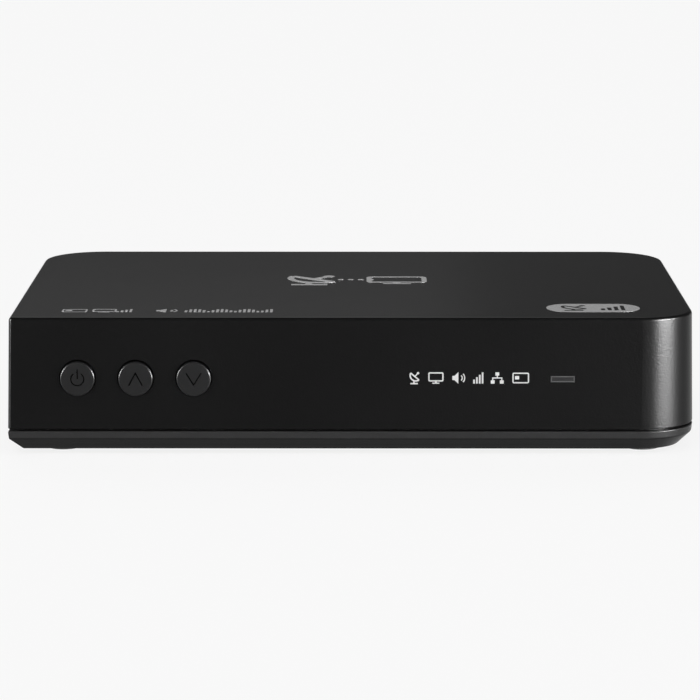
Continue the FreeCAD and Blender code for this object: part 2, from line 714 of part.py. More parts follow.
def make_inductors():
    """Square power inductors with bevelled corners."""
    places = ((44.0, -12.0), (54.0, -12.0), (44.0, 0.0))
    inductors = []
    for x, y in places:
        coil = block(x - 3.5, x + 3.5, y - 3.5, y + 3.5, BOARD_TOP, BOARD_TOP + 4.5)
        sides = [edge for edge in coil.Edges if edge.BoundBox.ZLength > 1]
        inductors.append(coil.makeChamfer(1.2, sides))
    return Part.makeCompound(inductors)


def make_crystal():
    """The clock crystal in its oblong can."""
    can = block(24.0, 35.0, -2.0, 2.6, BOARD_TOP, BOARD_TOP + 3.6)
    sides = [edge for edge in can.Edges if edge.BoundBox.ZLength > 1]
    return can.makeFillet(2.2, sides)


# ---------------------------------------------------------------- tuner and aerial connector

TUNER_HALF_WIDTH = 12.0
TUNER_FRONT_Y = MAIN_REAR_Y - 34.0
TUNER_TOP = BOARD_TOP + 12.4
CAN_WALL = 0.6
NUT_HALF_FLATS = 6.35
NUT_THICKNESS = 2.0
NUT_OUTER_Y = PANEL_OUTER_Y + NUT_THICKNESS
THREAD_ROOT_RADIUS = 4.5
DIELECTRIC_RADIUS = 3.3
STUD_TIP_Y = REAR_Y + STUD_PROUD


def make_tuner_frame():
    """The folded steel wall of the tuner, open above, with a hole for the aerial stud."""
    x0, x1 = STUD_X - TUNER_HALF_WIDTH, STUD_X + TUNER_HALF_WIDTH
    can = block(x0, x1, TUNER_FRONT_Y, MAIN_REAR_Y, BOARD_TOP, TUNER_TOP)
    room = block(
        x0 + CAN_WALL, x1 - CAN_WALL, TUNER_FRONT_Y + CAN_WALL, MAIN_REAR_Y - CAN_WALL,
        BOARD_TOP - 1, TUNER_TOP + 1)
    hole = lying(DIELECTRIC_RADIUS, STUD_X, STUD_Z, MAIN_REAR_Y - 2, MAIN_REAR_Y + 1)
    return cut(can, [room, hole])


def make_tuner_lid():
    """The pressed lid of the tuner, with a row of adjustment holes."""
    x0, x1 = STUD_X - TUNER_HALF_WIDTH, STUD_X + TUNER_HALF_WIDTH
    lid = block(x0, x1, TUNER_FRONT_Y, MAIN_REAR_Y, TUNER_TOP, TUNER_TOP + 0.5)
    return cut(lid, [
        upright(1.5, STUD_X - 7 + 7 * i, TUNER_FRONT_Y + 8, TUNER_TOP - 1, TUNER_TOP + 2) for i in range(3)])


def make_tuner_board():
    """The small board inside the tuner."""
    gap = CAN_WALL + 0.2
    return block(
        STUD_X - TUNER_HALF_WIDTH + gap, STUD_X + TUNER_HALF_WIDTH - gap, TUNER_FRONT_Y + gap,
        MAIN_REAR_Y - gap, BOARD_TOP, BOARD_TOP + 1.2)


def make_tuner_chip():
    """The tuner's own chip."""
    y = TUNER_FRONT_Y + 12
    return block(STUD_X - 3.5, STUD_X + 3.5, y - 3.5, y + 3.5, BOARD_TOP + 1.2, BOARD_TOP + 2.3)


def make_lnb_stud():
    """The threaded aerial stud: a root stretch through the panel and nut, then the free thread."""
    root = lying(THREAD_ROOT_RADIUS, STUD_X, STUD_Z, MAIN_REAR_Y, NUT_OUTER_Y)
    thread = lying(STUD_RADIUS, STUD_X, STUD_Z, NUT_OUTER_Y, STUD_TIP_Y)
    bore = lying(DIELECTRIC_RADIUS, STUD_X, STUD_Z, MAIN_REAR_Y - 1, STUD_TIP_Y + 1)
    return fuse([root, thread]).cut(bore)


def make_lnb_nut():
    """The hexagonal nut that clamps the stud to the rear panel."""
    corner = NUT_HALF_FLATS / math.cos(math.radians(30))
    points = []
    for i in range(6):
        angle = math.radians(60 * i)
        points.append((STUD_X + corner * math.cos(angle), PANEL_OUTER_Y, STUD_Z + corner * math.sin(angle)))
    nut = prism(points, (0, NUT_THICKNESS, 0))
    bore_radius = THREAD_ROOT_RADIUS + THREAD_CLEARANCE
    return nut.cut(lying(bore_radius, STUD_X, STUD_Z, PANEL_OUTER_Y - 1, NUT_OUTER_Y + 1))


def make_lnb_insulator():
    """The white insulator inside the stud, with a hole for the aerial lead's wire."""
    plug = lying(DIELECTRIC_RADIUS - 0.05, STUD_X, STUD_Z, MAIN_REAR_Y - 1.5, STUD_TIP_Y - 0.8)
    return plug.cut(lying(0.5, STUD_X, STUD_Z, STUD_TIP_Y - 9, STUD_TIP_Y + 1))


# ---------------------------------------------------------------- rear sockets

NETWORK_WIDTH = 16.0
NETWORK_HEIGHT = 13.4
NETWORK_DEPTH = 21.0
NETWORK_MOUTH = 11.8
NETWORK_SILL = 3.2
NETWORK_PLUG_HEIGHT = 7.0
NETWORK_WELL = 13.0

VIDEO_WIDTH = 15.0
VIDEO_HEIGHT = 6.2
VIDEO_DEPTH = 11.5
SHELL_WALL = 0.5

OPTICAL_WIDTH = 9.8
OPTICAL_HEIGHT = 9.8
OPTICAL_DEPTH = 14.5
OPTICAL_WELL_HALF = 4.15
OPTICAL_WELL = 11.0
FLAP_THICKNESS = 0.7
FLAP_GAP = 0.15
FLAP_PIN_RADIUS = 0.6
FLAP_PIN_GAP = 0.05

AUDIO_NOSE_RADIUS = 3.0
AUDIO_Z = BOARD_TOP + 3.2
AUDIO_BORE_RADIUS = 1.8
AUDIO_BORE = 14.0

DATA_WIDTH = 13.2
DATA_HEIGHT = 5.8
DATA_DEPTH = 14.0

POWER_WIDTH = 9.0
POWER_HEIGHT = 11.0
POWER_DEPTH = 14.0
POWER_BORE_RADIUS = 3.1
POWER_BORE = 9.5
POWER_PIN_RADIUS = 1.0
POWER_Z = BOARD_TOP + 6.0


def make_network_socket():
    """The network socket's housing, with the plug's well and the latch's notches."""
    half = NETWORK_WIDTH / 2
    body = block(
        NETWORK_X - half, NETWORK_X + half, MOUTH_Y - NETWORK_DEPTH, MOUTH_Y, BOARD_TOP,
        BOARD_TOP + NETWORK_HEIGHT)
    low = BOARD_TOP + NETWORK_SILL
    steps = (
        (NETWORK_MOUTH / 2, low, low + NETWORK_PLUG_HEIGHT),
        (3.1, low - 1.5, low),
        (1.7, low - 2.3, low - 1.5))
    wells = [
        block(NETWORK_X - reach, NETWORK_X + reach, MOUTH_Y - NETWORK_WELL, MOUTH_Y + 1, z0, z1)
        for reach, z0, z1 in steps]
    return body.cut(fuse(wells))


def make_network_contacts():
    """Eight sprung wires that slope down into the back of the network socket's well."""
    ceiling = BOARD_TOP + NETWORK_SILL + NETWORK_PLUG_HEIGHT
    mouth_end = MOUTH_Y - 3.0
    back = MOUTH_Y - NETWORK_WELL
    wires = []
    for i in range(8):
        x = NETWORK_X + (i - 3.5) * 1.02 - 0.2
        wires.append(prism([
            (x, mouth_end, ceiling), (x, mouth_end - 0.6, ceiling), (x, back, ceiling - 2.2),
            (x, back, ceiling - 2.6), (x, mouth_end - 0.4, ceiling - 0.5)], (0.4, 0, 0)))
    return Part.makeCompound(wires)


def hood(centre, width, height, depth, bevel):
    """A folded steel hood round a flat socket, with the lower corners bevelled."""
    def profile(inset):
        half = width / 2 - inset
        low = BOARD_TOP + inset
        high = BOARD_TOP + height - inset
        return [
            (centre - half, MOUTH_Y, high), (centre + half, MOUTH_Y, high),
            (centre + half, MOUTH_Y, low + bevel), (centre + half - bevel, MOUTH_Y, low),
            (centre - half + bevel, MOUTH_Y, low), (centre - half, MOUTH_Y, low + bevel)]
    return prism(profile(0), (0, -depth, 0)).cut(prism(profile(SHELL_WALL), (0, -depth, 0)))


def tongue(centre, width, height, depth, bevel, tongue_half, tongue_low, tongue_high):
    """The insulator of a flat socket: a block that fills the hood's back, and a tongue towards its mouth."""
    half = width / 2 - SHELL_WALL
    back = block(
        centre - half + bevel, centre + half - bevel, MOUTH_Y - depth, MOUTH_Y - depth + 2.5,
        BOARD_TOP + SHELL_WALL, BOARD_TOP + height - SHELL_WALL)
    blade = block(
        centre - tongue_half, centre + tongue_half, MOUTH_Y - depth + 2, MOUTH_Y - 1.2,
        BOARD_TOP + tongue_low, BOARD_TOP + tongue_high)
    return fuse([back, blade])


def make_video_shell():
    """The steel hood of the television socket."""
    return hood(VIDEO_X, VIDEO_WIDTH, VIDEO_HEIGHT, VIDEO_DEPTH, 1.6)


def make_video_tongue():
    """The insulator of the television socket."""
    return tongue(VIDEO_X, VIDEO_WIDTH, VIDEO_HEIGHT, VIDEO_DEPTH, 1.6, 5.2, 2.9, 3.9)


def make_data_shell():
    """The steel hood of the storage socket."""
    return hood(DATA_X, DATA_WIDTH, DATA_HEIGHT, DATA_DEPTH, 0.01)


def make_data_tongue():
    """The insulator of the storage socket."""
    return tongue(DATA_X, DATA_WIDTH, DATA_HEIGHT, DATA_DEPTH, 0.01, 5.5, 3.0, 4.8)


def optical_well_centre():
    """The height of the middle of the optical socket's well."""
    return BOARD_TOP + OPTICAL_HEIGHT / 2


def flap_axis():
    """The (y, z) of the shutter's pin, at the top of the well's mouth."""
    return MOUTH_Y - 1.3, optical_well_centre() + OPTICAL_WELL_HALF - 0.75


def make_optical_socket():
    """The housing of the optical socket, with a square well and bearings for its shutter."""
    half = OPTICAL_WIDTH / 2
    z = optical_well_centre()
    body = block(
        OPTICAL_X - half, OPTICAL_X + half, MOUTH_Y - OPTICAL_DEPTH, MOUTH_Y, BOARD_TOP,
        BOARD_TOP + OPTICAL_HEIGHT)
    reach = OPTICAL_WELL_HALF
    well = block(
        OPTICAL_X - reach, OPTICAL_X + reach, MOUTH_Y - OPTICAL_WELL, MOUTH_Y + 1, z - reach, z + reach)
    y, pin_z = flap_axis()
    bearing_half = half - 0.2
    bearing = Part.makeCylinder(
        FLAP_PIN_RADIUS + FLAP_PIN_GAP, 2 * bearing_half, Vector(OPTICAL_X - bearing_half, y, pin_z),
        Vector(1, 0, 0))
    return cut(body, [well, bearing])


def make_optical_emitter():
    """The lamp block at the back of the optical well, with its round port."""
    reach = OPTICAL_WELL_HALF - 0.1
    z = optical_well_centre()
    back = MOUTH_Y - OPTICAL_WELL
    plate = block(OPTICAL_X - reach, OPTICAL_X + reach, back, back + 0.8, z - reach, z + reach)
    port = lying(1.3, OPTICAL_X, z, back, back + 1.8)
    return fuse([plate, port])


def make_optical_shutter():
    """The sprung flap that closes the optical socket and swings inwards about a pin at its top."""
    y, pin_z = flap_axis()
    half = OPTICAL_WELL_HALF - FLAP_GAP
    low = optical_well_centre() - OPTICAL_WELL_HALF + FLAP_GAP
    plate = block(
        OPTICAL_X - half, OPTICAL_X + half, y - FLAP_THICKNESS / 2, y + FLAP_THICKNESS / 2, low, pin_z)
    pin_half = OPTICAL_WIDTH / 2 - 0.3
    pin_start = Vector(OPTICAL_X - pin_half, y, pin_z)
    pin = Part.makeCylinder(FLAP_PIN_RADIUS, 2 * pin_half, pin_start, Vector(1, 0, 0))
    return fuse([plate, pin])


def make_audio_jack():
    """The round 3.5 mm audio socket and its housing."""
    half, height = 3.3, 6.4
    body = block(
        AUDIO_X - half, AUDIO_X + half, MOUTH_Y - AUDIO_BORE - 1, PANEL_INNER_Y - 1.6, BOARD_TOP,
        BOARD_TOP + height)
    nose = lying(AUDIO_NOSE_RADIUS, AUDIO_X, AUDIO_Z, PANEL_INNER_Y - 2, MOUTH_Y)
    bore = lying(AUDIO_BORE_RADIUS, AUDIO_X, AUDIO_Z, MOUTH_Y - AUDIO_BORE, MOUTH_Y + 1)
    return fuse([body, nose]).cut(bore)


def make_power_jack():
    """The low-voltage inlet's housing."""
    half = POWER_WIDTH / 2
    body = block(
        POWER_X - half, POWER_X + half, MOUTH_Y - POWER_DEPTH, MOUTH_Y, BOARD_TOP, BOARD_TOP + POWER_HEIGHT)
    return body.cut(lying(POWER_BORE_RADIUS, POWER_X, POWER_Z, MOUTH_Y - POWER_BORE, MOUTH_Y + 1))


def make_power_pin():
    """The pin in the middle of the low-voltage inlet."""
    pin = lying(POWER_PIN_RADIUS, POWER_X, POWER_Z, MOUTH_Y - POWER_BORE, MOUTH_Y - 0.8)
    tip = [edge for edge in pin.Edges if abs(edge.CenterOfMass.y - (MOUTH_Y - 0.8)) < 0.01]
    return pin.makeFillet(0.6, tip)


# ---------------------------------------------------------------- card reader

def make_card_reader():
    """The frame that takes the subscriber's card, open towards the left wall's slot."""
    frame = block(
        READER_LEFT, READER_RIGHT, -READER_HALF_LENGTH, READER_HALF_LENGTH, BOARD_TOP, READER_TOP)
    card = block(
        READER_LEFT - 1, READER_RIGHT - 2, -CARD_HALF_WIDTH, CARD_HALF_WIDTH,
        SLOT_Z - CARD_GAP / 2, SLOT_Z + CARD_GAP / 2)
    window = block(-64.0, -49.0, -7.5, 7.5, SLOT_Z, READER_TOP + 1)
    return cut(frame, [card, window])


def make_card_contacts():
    """Eight sprung contacts that press up on the card."""
    contacts = []
    low = SLOT_Z - CARD_GAP / 2
    for row in range(2):
        for i in range(4):
            x = READER_RIGHT - 24.0 + row * 7.6
            y = -3.8 + i * 2.54 - 0.4
            crest = low + 0.35
            contacts.append(prism(
                [(x, y, low), (x + 4, y, low), (x + 2.4, y, crest), (x + 1.6, y, crest)], (0, 0.8, 0)))
    return Part.makeCompound(contacts)


# ---------------------------------------------------------------- export

def main():
    """Builds every node and writes each one to its own file."""
    cap_front = FRONT_Y - CAP_PROUD
    power_x, up_x, down_x = BUTTON_XS
    nodes = {
        "top_cover": make_top_cover(),
        "base_tray": make_base_tray(),
        "feet": make_feet(),
        "case_screws": make_case_screws(),
        "rear_panel": make_rear_panel(),
        "status_window": make_status_window(),
        "power_cap": make_cap(power_x, power_symbol(power_x, cap_front)),
        "up_cap": make_cap(up_x, chevron(up_x, UP_HALF_WIDTH, UP_HEIGHT, cap_front)),
        "down_cap": make_cap(down_x, chevron(down_x, DOWN_HALF_WIDTH, -DOWN_HEIGHT, cap_front)),
        "power_plunger": make_plunger(power_x),
        "up_plunger": make_plunger(up_x),
        "down_plunger": make_plunger(down_x),
        "switch_bodies": make_switch_bodies(),
        "infrared_receiver": make_infrared_receiver(),
        "standby_lamp": make_standby_lamp(),
        "front_board": make_front_board(),
        "front_board_screws": make_front_board_screws(),
        "front_link_socket": make_front_link_socket(),
        "main_link_socket": make_main_link_socket(),
        "link_ribbon": make_link_ribbon(),
        "main_board": make_main_board(),
        "board_screws": make_board_screws(),
        "processor": make_processor(),
        "thermal_pad": make_thermal_pad(),
        "heat_sink": make_heat_sink(),
        "memory_chips": make_memory_chips(),
        "flash_chip": make_flash_chip(),
        "board_chips": make_board_chips(),
        "capacitors": make_capacitors(),
        "inductors": make_inductors(),
        "crystal": make_crystal(),
        "tuner_frame": make_tuner_frame(),
        "tuner_lid": make_tuner_lid(),
        "tuner_board": make_tuner_board(),
        "tuner_chip": make_tuner_chip(),
        "lnb_stud": make_lnb_stud(),
        "lnb_nut": make_lnb_nut(),
        "lnb_insulator": make_lnb_insulator(),
        "network_socket": make_network_socket(),
        "network_contacts": make_network_contacts(),
        "video_shell": make_video_shell(),
        "video_tongue": make_video_tongue(),
        "data_shell": make_data_shell(),
        "data_tongue": make_data_tongue(),
        "optical_socket": make_optical_socket(),
        "optical_emitter": make_optical_emitter(),
        "optical_shutter": make_optical_shutter(),
        "audio_jack": make_audio_jack(),
        "power_jack": make_power_jack(),
        "power_pin": make_power_pin(),
        "card_reader": make_card_reader(),
        "card_contacts": make_card_contacts(),
    }
    os.makedirs("parts", exist_ok=True)
    for name, shape in nodes.items():
        shape.exportStep("parts/" + name + ".step")
        print(name, len(shape.Solids), shape.isValid(), round(shape.Volume, 1))


main()
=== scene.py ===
import bmesh
import bpy
import math

from mathutils import Matrix, Vector


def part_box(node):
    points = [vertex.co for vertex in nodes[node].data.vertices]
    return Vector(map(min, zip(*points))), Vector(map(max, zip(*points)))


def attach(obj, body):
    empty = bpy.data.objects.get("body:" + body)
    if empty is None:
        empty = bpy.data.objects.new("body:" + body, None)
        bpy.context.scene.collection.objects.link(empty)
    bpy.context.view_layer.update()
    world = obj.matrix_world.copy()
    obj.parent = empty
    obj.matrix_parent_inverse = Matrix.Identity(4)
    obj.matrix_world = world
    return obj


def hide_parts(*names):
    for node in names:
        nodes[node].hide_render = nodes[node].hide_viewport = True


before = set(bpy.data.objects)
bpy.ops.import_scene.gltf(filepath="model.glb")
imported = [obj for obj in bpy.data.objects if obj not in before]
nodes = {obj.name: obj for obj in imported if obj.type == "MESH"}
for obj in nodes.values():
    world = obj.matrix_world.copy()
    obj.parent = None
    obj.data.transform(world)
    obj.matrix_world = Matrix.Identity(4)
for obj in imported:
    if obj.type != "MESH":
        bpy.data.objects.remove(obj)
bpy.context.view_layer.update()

# ------------ camera
# A long lens almost straight in front of the receiver, a hand's breadth above it, so that the roof shows
# as a narrow band and the sides hardly at all.
camera_distance = 0.752
camera_height = 0.1654
camera_sideways = 0.00131
camera_pitch = math.radians(79.53)
camera_yaw = 0.0028
camera_data = bpy.data.cameras.new("camera")
camera_data.sensor_width = 36
camera_data.lens = 162.27
camera_data.shift_x = 0.0008
camera = bpy.data.objects.new("camera", camera_data)
camera.location = (camera_sideways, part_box("base_tray")[0].y - camera_distance, camera_height)
camera.rotation_euler = (camera_pitch, 0, camera_yaw)
bpy.context.scene.collection.objects.link(camera)
bpy.context.scene.camera = camera

# ------------ base tray
# The lower moulding, from a greyer batch of the same black plastic as the cover. Its tool was spark-eroded,
# which leaves a fine even grain. The chamfer is given a darker grey as painted shade, for the face that turns
# down towards the floor.


def start_material(name, colour, roughness, metallic=0.0, specular=0.5):
    """A material whose uniform values sit on the shader's own sockets."""
    material = bpy.data.materials.new(name)
    material.use_nodes = True
    shader = material.node_tree.nodes["Principled BSDF"]
    shader.inputs["Base Color"].default_value = (*colour, 1)
    shader.inputs["Roughness"].default_value = roughness
    shader.inputs["Metallic"].default_value = metallic
    shader.inputs["Specular IOR Level"].default_value = specular
    return material


def object_place(material):
    """Where a point lies on its piece, in metres."""
    return material.node_tree.nodes.new("ShaderNodeTexCoord").outputs["Object"]


def add_pattern(material, kind, size, stretch=(1, 1, 1), output="Fac", **settings):
    """The output of a texture whose features are about one size, in metres."""
    tree = material.node_tree
    mapping = tree.nodes.new("ShaderNodeMapping")
    mapping.inputs["Scale"].default_value = [factor / size for factor in stretch]
    pattern = tree.nodes.new("ShaderNodeTex" + kind)
    pattern.inputs["Scale"].default_value = 1
    for name, value in settings.items():
        socket = pattern.inputs.get(name.title())
        if socket:
            socket.default_value = value
        else:
            setattr(pattern, name, value)
    tree.links.new(object_place(material), mapping.inputs["Vector"])
    tree.links.new(mapping.outputs["Vector"], pattern.inputs["Vector"])
    return pattern.outputs[output]


def spread(material, source, low, high, from_low=0.3, from_high=0.7):
    """The output of a pattern whose grey is mapped onto a range of values or colours."""
    tree = material.node_tree
    if isinstance(low, tuple):
        ramp = tree.nodes.new("ShaderNodeValToRGB")
        ramp.color_ramp.elements[0].position = from_low
        ramp.color_ramp.elements[0].color = (*low, 1)
        ramp.color_ramp.elements[1].position = from_high
        ramp.color_ramp.elements[1].color = (*high, 1)
        tree.links.new(source, ramp.inputs["Fac"])
        return ramp.outputs["Color"]
    span = tree.nodes.new("ShaderNodeMapRange")
    span.inputs["From Min"].default_value = from_low
    span.inputs["From Max"].default_value = from_high
    span.inputs["To Min"].default_value = low
    span.inputs["To Max"].default_value = high
    tree.links.new(source, span.inputs["Value"])
    return span.outputs["Result"]


def drive(material, socket, output):
    """Feeds one of the shader's sockets from a pattern."""
    shader = material.node_tree.nodes["Principled BSDF"]
    material.node_tree.links.new(output, shader.inputs[socket])


def add_bump(material, source, height):
    """Raises the surface by a pattern, on top of any bump that is there already."""
    tree = material.node_tree
    shader = tree.nodes["Principled BSDF"]
    bump = tree.nodes.new("ShaderNodeBump")
    bump.inputs["Distance"].default_value = height
    tree.links.new(source, bump.inputs["Height"])
    if shader.inputs["Normal"].links:
        tree.links.new(shader.inputs["Normal"].links[0].from_socket, bump.inputs["Normal"])
    tree.links.new(bump.outputs["Normal"], shader.inputs["Normal"])


def moulded_plastic(name, dark, light, roughness, grain=0.0005, grain_height=0.00001, specular=0.4):
    """Moulded plastic with an even spark-eroded grain and broad patches where the melt filled unevenly."""
    material = start_material(name, dark, roughness, specular=specular)
    melt = add_pattern(material, "Noise", 0.03, detail=0.0)
    drive(material, "Base Color", spread(material, melt, dark, light, 0.1, 0.9))
    drive(material, "Roughness", spread(material, melt, roughness - 0.015, roughness + 0.015, 0.1, 0.9))
    add_bump(material, add_pattern(material, "Noise", grain, detail=3.0), grain_height)
    return material


def dress(material, *node_names):
    """Gives CAD nodes a finished material."""
    for node_name in node_names:
        for material_slot in nodes[node_name].material_slots:
            material_slot.material = material


# The chamfer's darker grey is painted shade: below a set height the tray is coloured darker, for its downward
# face.
shaded_chamfer_grey = (0.004, 0.004, 0.0042)
lip_grey = (0.036, 0.036, 0.0365)
grey_from, grey_to = 0.0042, 0.0047
tray_plastic = moulded_plastic(
    "tray_plastic", lip_grey, lip_grey, roughness=0.33, grain=0.0004, grain_height=0.000025, specular=0.07)
place_split = tray_plastic.node_tree.nodes.new("ShaderNodeSeparateXYZ")
tray_plastic.node_tree.links.new(object_place(tray_plastic), place_split.inputs["Vector"])
# Share of the lip grey by height: zero on the chamfer, where the painted shade is.
unshaded_lip_share = spread(tray_plastic, place_split.outputs["Z"], 0.0, 1.0, grey_from, grey_to)
drive(tray_plastic, "Base Color", spread(tray_plastic, unshaded_lip_share, shaded_chamfer_grey, lip_grey, 0.0, 1.0))
dress(tray_plastic, "base_tray")

# ------------ feet
# Four soft rubber discs, each moulded with two rings on its face so that it grips, and glued into a
# shallow recess of the tray. They are turned here with their rings.


def corners(node):
    """A CAD node's lowest and highest corners, in millimetres."""
    low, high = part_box(node)
    return low * 1000, high * 1000


def speckled(name, dark, light, roughness, size, detail=2.0, height=0.0, specular=0.5):
    """A material with fine specks in its colour and, where they have a height, in its relief."""
    material = start_material(name, light, roughness, specular=specular)
    specks = add_pattern(material, "Noise", size, detail=detail)
    drive(material, "Base Color", spread(material, specks, dark, light))
    if height:
        add_bump(material, specks, height)
    return material


def add_turned(bm, profile, centre, axis, steps=48, closed=False):
    """A round shape, turned about an axis through a centre from (radius, distance along the axis) points."""
    axis = Vector(axis)
    out = axis.orthogonal().normalized()
    verts = [bm.verts.new(Vector(centre) + out * radius + axis * distance) for radius, distance in profile]
    edges = [bm.edges.new(pair) for pair in zip(verts, verts[1:])]
    if closed:
        edges.append(bm.edges.new((verts[-1], verts[0])))
    bmesh.ops.spin(
        bm, geom=verts + edges, cent=centre, axis=axis, angle=2 * math.pi, steps=steps, use_merge=True)


def finish_piece(name, bm, material, body="receiver", crisp_over=32):
    """Turns a bmesh drawn in millimetres into a piece in metres that rides on a body."""
    bmesh.ops.remove_doubles(bm, verts=bm.verts[:], dist=0.0005)
    bmesh.ops.recalc_face_normals(bm, faces=bm.faces[:])
    for face in bm.faces:
        face.smooth = True
    for edge in bm.edges:
        edge.smooth = edge.is_manifold and edge.calc_face_angle(0) < math.radians(crisp_over)
    bmesh.ops.scale(bm, vec=(0.001, 0.001, 0.001), verts=bm.verts[:])
    mesh = bpy.data.meshes.new(name)
    bm.to_mesh(mesh)
    bm.free()
    mesh.materials.append(material)
    piece = bpy.data.objects.new(name, mesh)
    bpy.context.scene.collection.objects.link(piece)
    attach(piece, body)
    return piece


foot_rubber = speckled(
    "foot_rubber", (0.015, 0.015, 0.015), (0.028, 0.028, 0.027), roughness=0.7, size=0.0016, detail=4.0,
    height=0.00003, specular=0.3)
feet_low, feet_high = corners("feet")
foot_radius = 5.0
rear_foot_x = 64.0
front_foot_x = feet_high.x - foot_radius
foot_top, ring_height = feet_high.z, 0.25
foot_profile = [
    (0, ring_height), (1.6, ring_height), (1.9, 0), (2.6, 0), (2.9, ring_height), (3.4, ring_height),
    (3.7, 0), (4.6, 0), (4.85, 0.1), (foot_radius, 0.35), (foot_radius, foot_top), (0, foot_top)]
bm = bmesh.new()
for foot_x, foot_y in (
        (front_foot_x, feet_low.y + foot_radius), (rear_foot_x, feet_high.y - foot_radius)):
    for side in (-1, 1):
        add_turned(bm, foot_profile, (side * foot_x, foot_y, 0), (0, 0, 1))
ringed_feet = finish_piece("ringed_feet", bm, foot_rubber)
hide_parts("feet")

# ------------ main board
# A green glass-fibre board. Solder mask covers its copper tracks, which show through as paler lines that
# run in bundles, and it is held down by six small zinc-plated screws.


def laminate(name, green, track_green):
    """Solder mask over bundles of parallel tracks, with grains of the glass cloth under it."""
    material = start_material(name, green, 0.35)
    tree = material.node_tree
    quarters = add_pattern(material, "Voronoi", 0.011, output="Color", distance="CHEBYCHEV")
    choice = tree.nodes.new("ShaderNodeMix")
    tree.links.new(quarters, choice.inputs["Factor"])
    for side, direction in (("A", "Y"), ("B", "X")):
        bundle = add_pattern(material, "Wave", 0.0026, bands_direction=direction)
        tree.links.new(bundle, choice.inputs[side])
    tracks = choice.outputs["Result"]
    drive(material, "Base Color", spread(material, tracks, green, track_green, 0.72, 0.8))
    add_bump(material, add_pattern(material, "Noise", 0.0006, detail=2.0), 0.000004)
    add_bump(material, tracks, 0.000012)
    return material


def plated_metal(name, dark, light, roughness, grain, stretch=(1, 1, 1), unevenness=0.000002):
    """Bare or plated metal with fine streaks along the direction that is stretched least."""
    material = start_material(name, light, roughness, metallic=1.0)
    streaks = add_pattern(material, "Noise", grain, stretch, detail=3.0)
    drive(material, "Base Color", spread(material, streaks, dark, light))
    drive(material, "Roughness", spread(material, streaks, roughness - 0.04, roughness + 0.04))
    add_bump(material, streaks, unevenness)
    return material


board_green = laminate("board_green", (0.008, 0.062, 0.026), (0.016, 0.105, 0.045))
dress(board_green, "main_board", "front_board", "tuner_board")
zinc_plating = plated_metal(
    "zinc_plating", (0.30, 0.29, 0.26), (0.48, 0.47, 0.44), roughness=0.36, grain=0.0012)
dress(zinc_plating, "board_screws", "front_board_screws")

# ------------ chips
# Moulded epoxy packages with a dull even skin and legs of tinned copper strip, which are bent outwards and
# down to the board. Most have a dot of white ink by their first leg.


def add_strip(bm, path, across, width, thickness):
    """A bent strip of sheet metal along a path, its width along one direction."""
    half = Vector(across) * width / 2
    verts = [bm.verts.new(Vector(path[0]) - half), bm.verts.new(Vector(path[0]) + half)]
    edges = [bm.edges.new(verts)]
    faces = []
    for start, end in zip(path, path[1:]):
        made = bmesh.ops.extrude_edge_only(bm, edges=edges)["geom"]
        verts = [item for item in made if isinstance(item, bmesh.types.BMVert)]
        edges = [
            item for item in made
            if isinstance(item, bmesh.types.BMEdge) and all(vert in verts for vert in item.verts)]
        faces += [item for item in made if isinstance(item, bmesh.types.BMFace)]
        bmesh.ops.translate(bm, vec=Vector(end) - Vector(start), verts=verts)
    bmesh.ops.solidify(bm, geom=faces, thickness=thickness)


def add_legs(bm, low, high, sides, pitch, leg_width, reach):
    """Bent legs along some sides of a chip, from half its height down to the board."""
    leg_thickness = 0.13
    middle, half = (low + high) / 2, (high - low) / 2
    foot_z = low.z + 0.08
    for side in sides:
        out = Matrix.Rotation(math.radians(side), 3, "Z") @ Vector((1, 0, 0))
        along = Vector((-out.y, out.x, 0))
        half_out = abs(out.x) * half.x + abs(out.y) * half.y
        half_along = abs(along.x) * half.x + abs(along.y) * half.y
        count = int((2 * half_along - pitch) / pitch)
        for i in range(count):
            start = Vector((middle.x, middle.y, 0)) + along * (i - (count - 1) / 2) * pitch
            path = [
                start + out * (half_out + step) + Vector((0, 0, z))
                for step, z in (
                    (-0.2, middle.z), (0.3 * reach, middle.z), (0.45 * reach, foot_z), (reach, foot_z))]
            add_strip(bm, path, along, leg_width, leg_thickness)


def add_dot(bm, x, y, top, radius):
    """A dot of white ink on a chip's top, by its first leg."""
    sunk, height = 0.02, 0.04
    outline = [(0, 0), (radius, 0), (radius, height), (0, height)]
    add_turned(bm, outline, (x, y, top - sunk), (0, 0, 1), steps=16)


chip_epoxy = speckled(
    "chip_epoxy", (0.013, 0.013, 0.014), (0.021, 0.021, 0.022), roughness=0.5, size=0.0004, detail=3.0,
    height=0.00001, specular=0.35)
dress(chip_epoxy, "processor", "memory_chips", "flash_chip", "board_chips", "tuner_chip", "switch_bodies")
tinned_strip = plated_metal(
    "tinned_strip", (0.52, 0.52, 0.50), (0.66, 0.66, 0.65), roughness=0.32, grain=0.0005)
white_ink = speckled(
    "white_ink", (0.66, 0.66, 0.66), (0.76, 0.76, 0.75), roughness=0.55,
    size=0.0005, detail=3.0, specular=0.3)

board_top = corners("main_board")[1].z
legs, dots = bmesh.new(), bmesh.new()
four_sides, left_and_right = (0, 90, 180, 270), (0, 180)
for node, sides, pitch, leg_width, reach in (
        ("processor", four_sides, 0.8, 0.3, 1.2), ("flash_chip", left_and_right, 0.6, 0.22, 0.9),
        ("tuner_chip", four_sides, 0.8, 0.3, 0.8)):
    add_legs(legs, *corners(node), sides, pitch, leg_width, reach)
memory_low, memory_high = corners("memory_chips")
memory_length = 10.0
for left in (memory_low.x, memory_high.x - memory_length):
    chip_low = Vector((left, memory_low.y, board_top))
    chip_high = Vector((left + memory_length, memory_high.y, memory_high.z))
    add_legs(legs, chip_low, chip_high, (90, 270), pitch=0.8, leg_width=0.3, reach=0.9)
    add_dot(dots, chip_low.x + 1.2, chip_low.y + 1.2, chip_high.z, radius=0.35)
flash_low, flash_high = corners("flash_chip")
add_dot(dots, flash_low.x + 1.3, flash_high.y - 1.3, flash_high.z, radius=0.4)
small_chip_height = 1.5
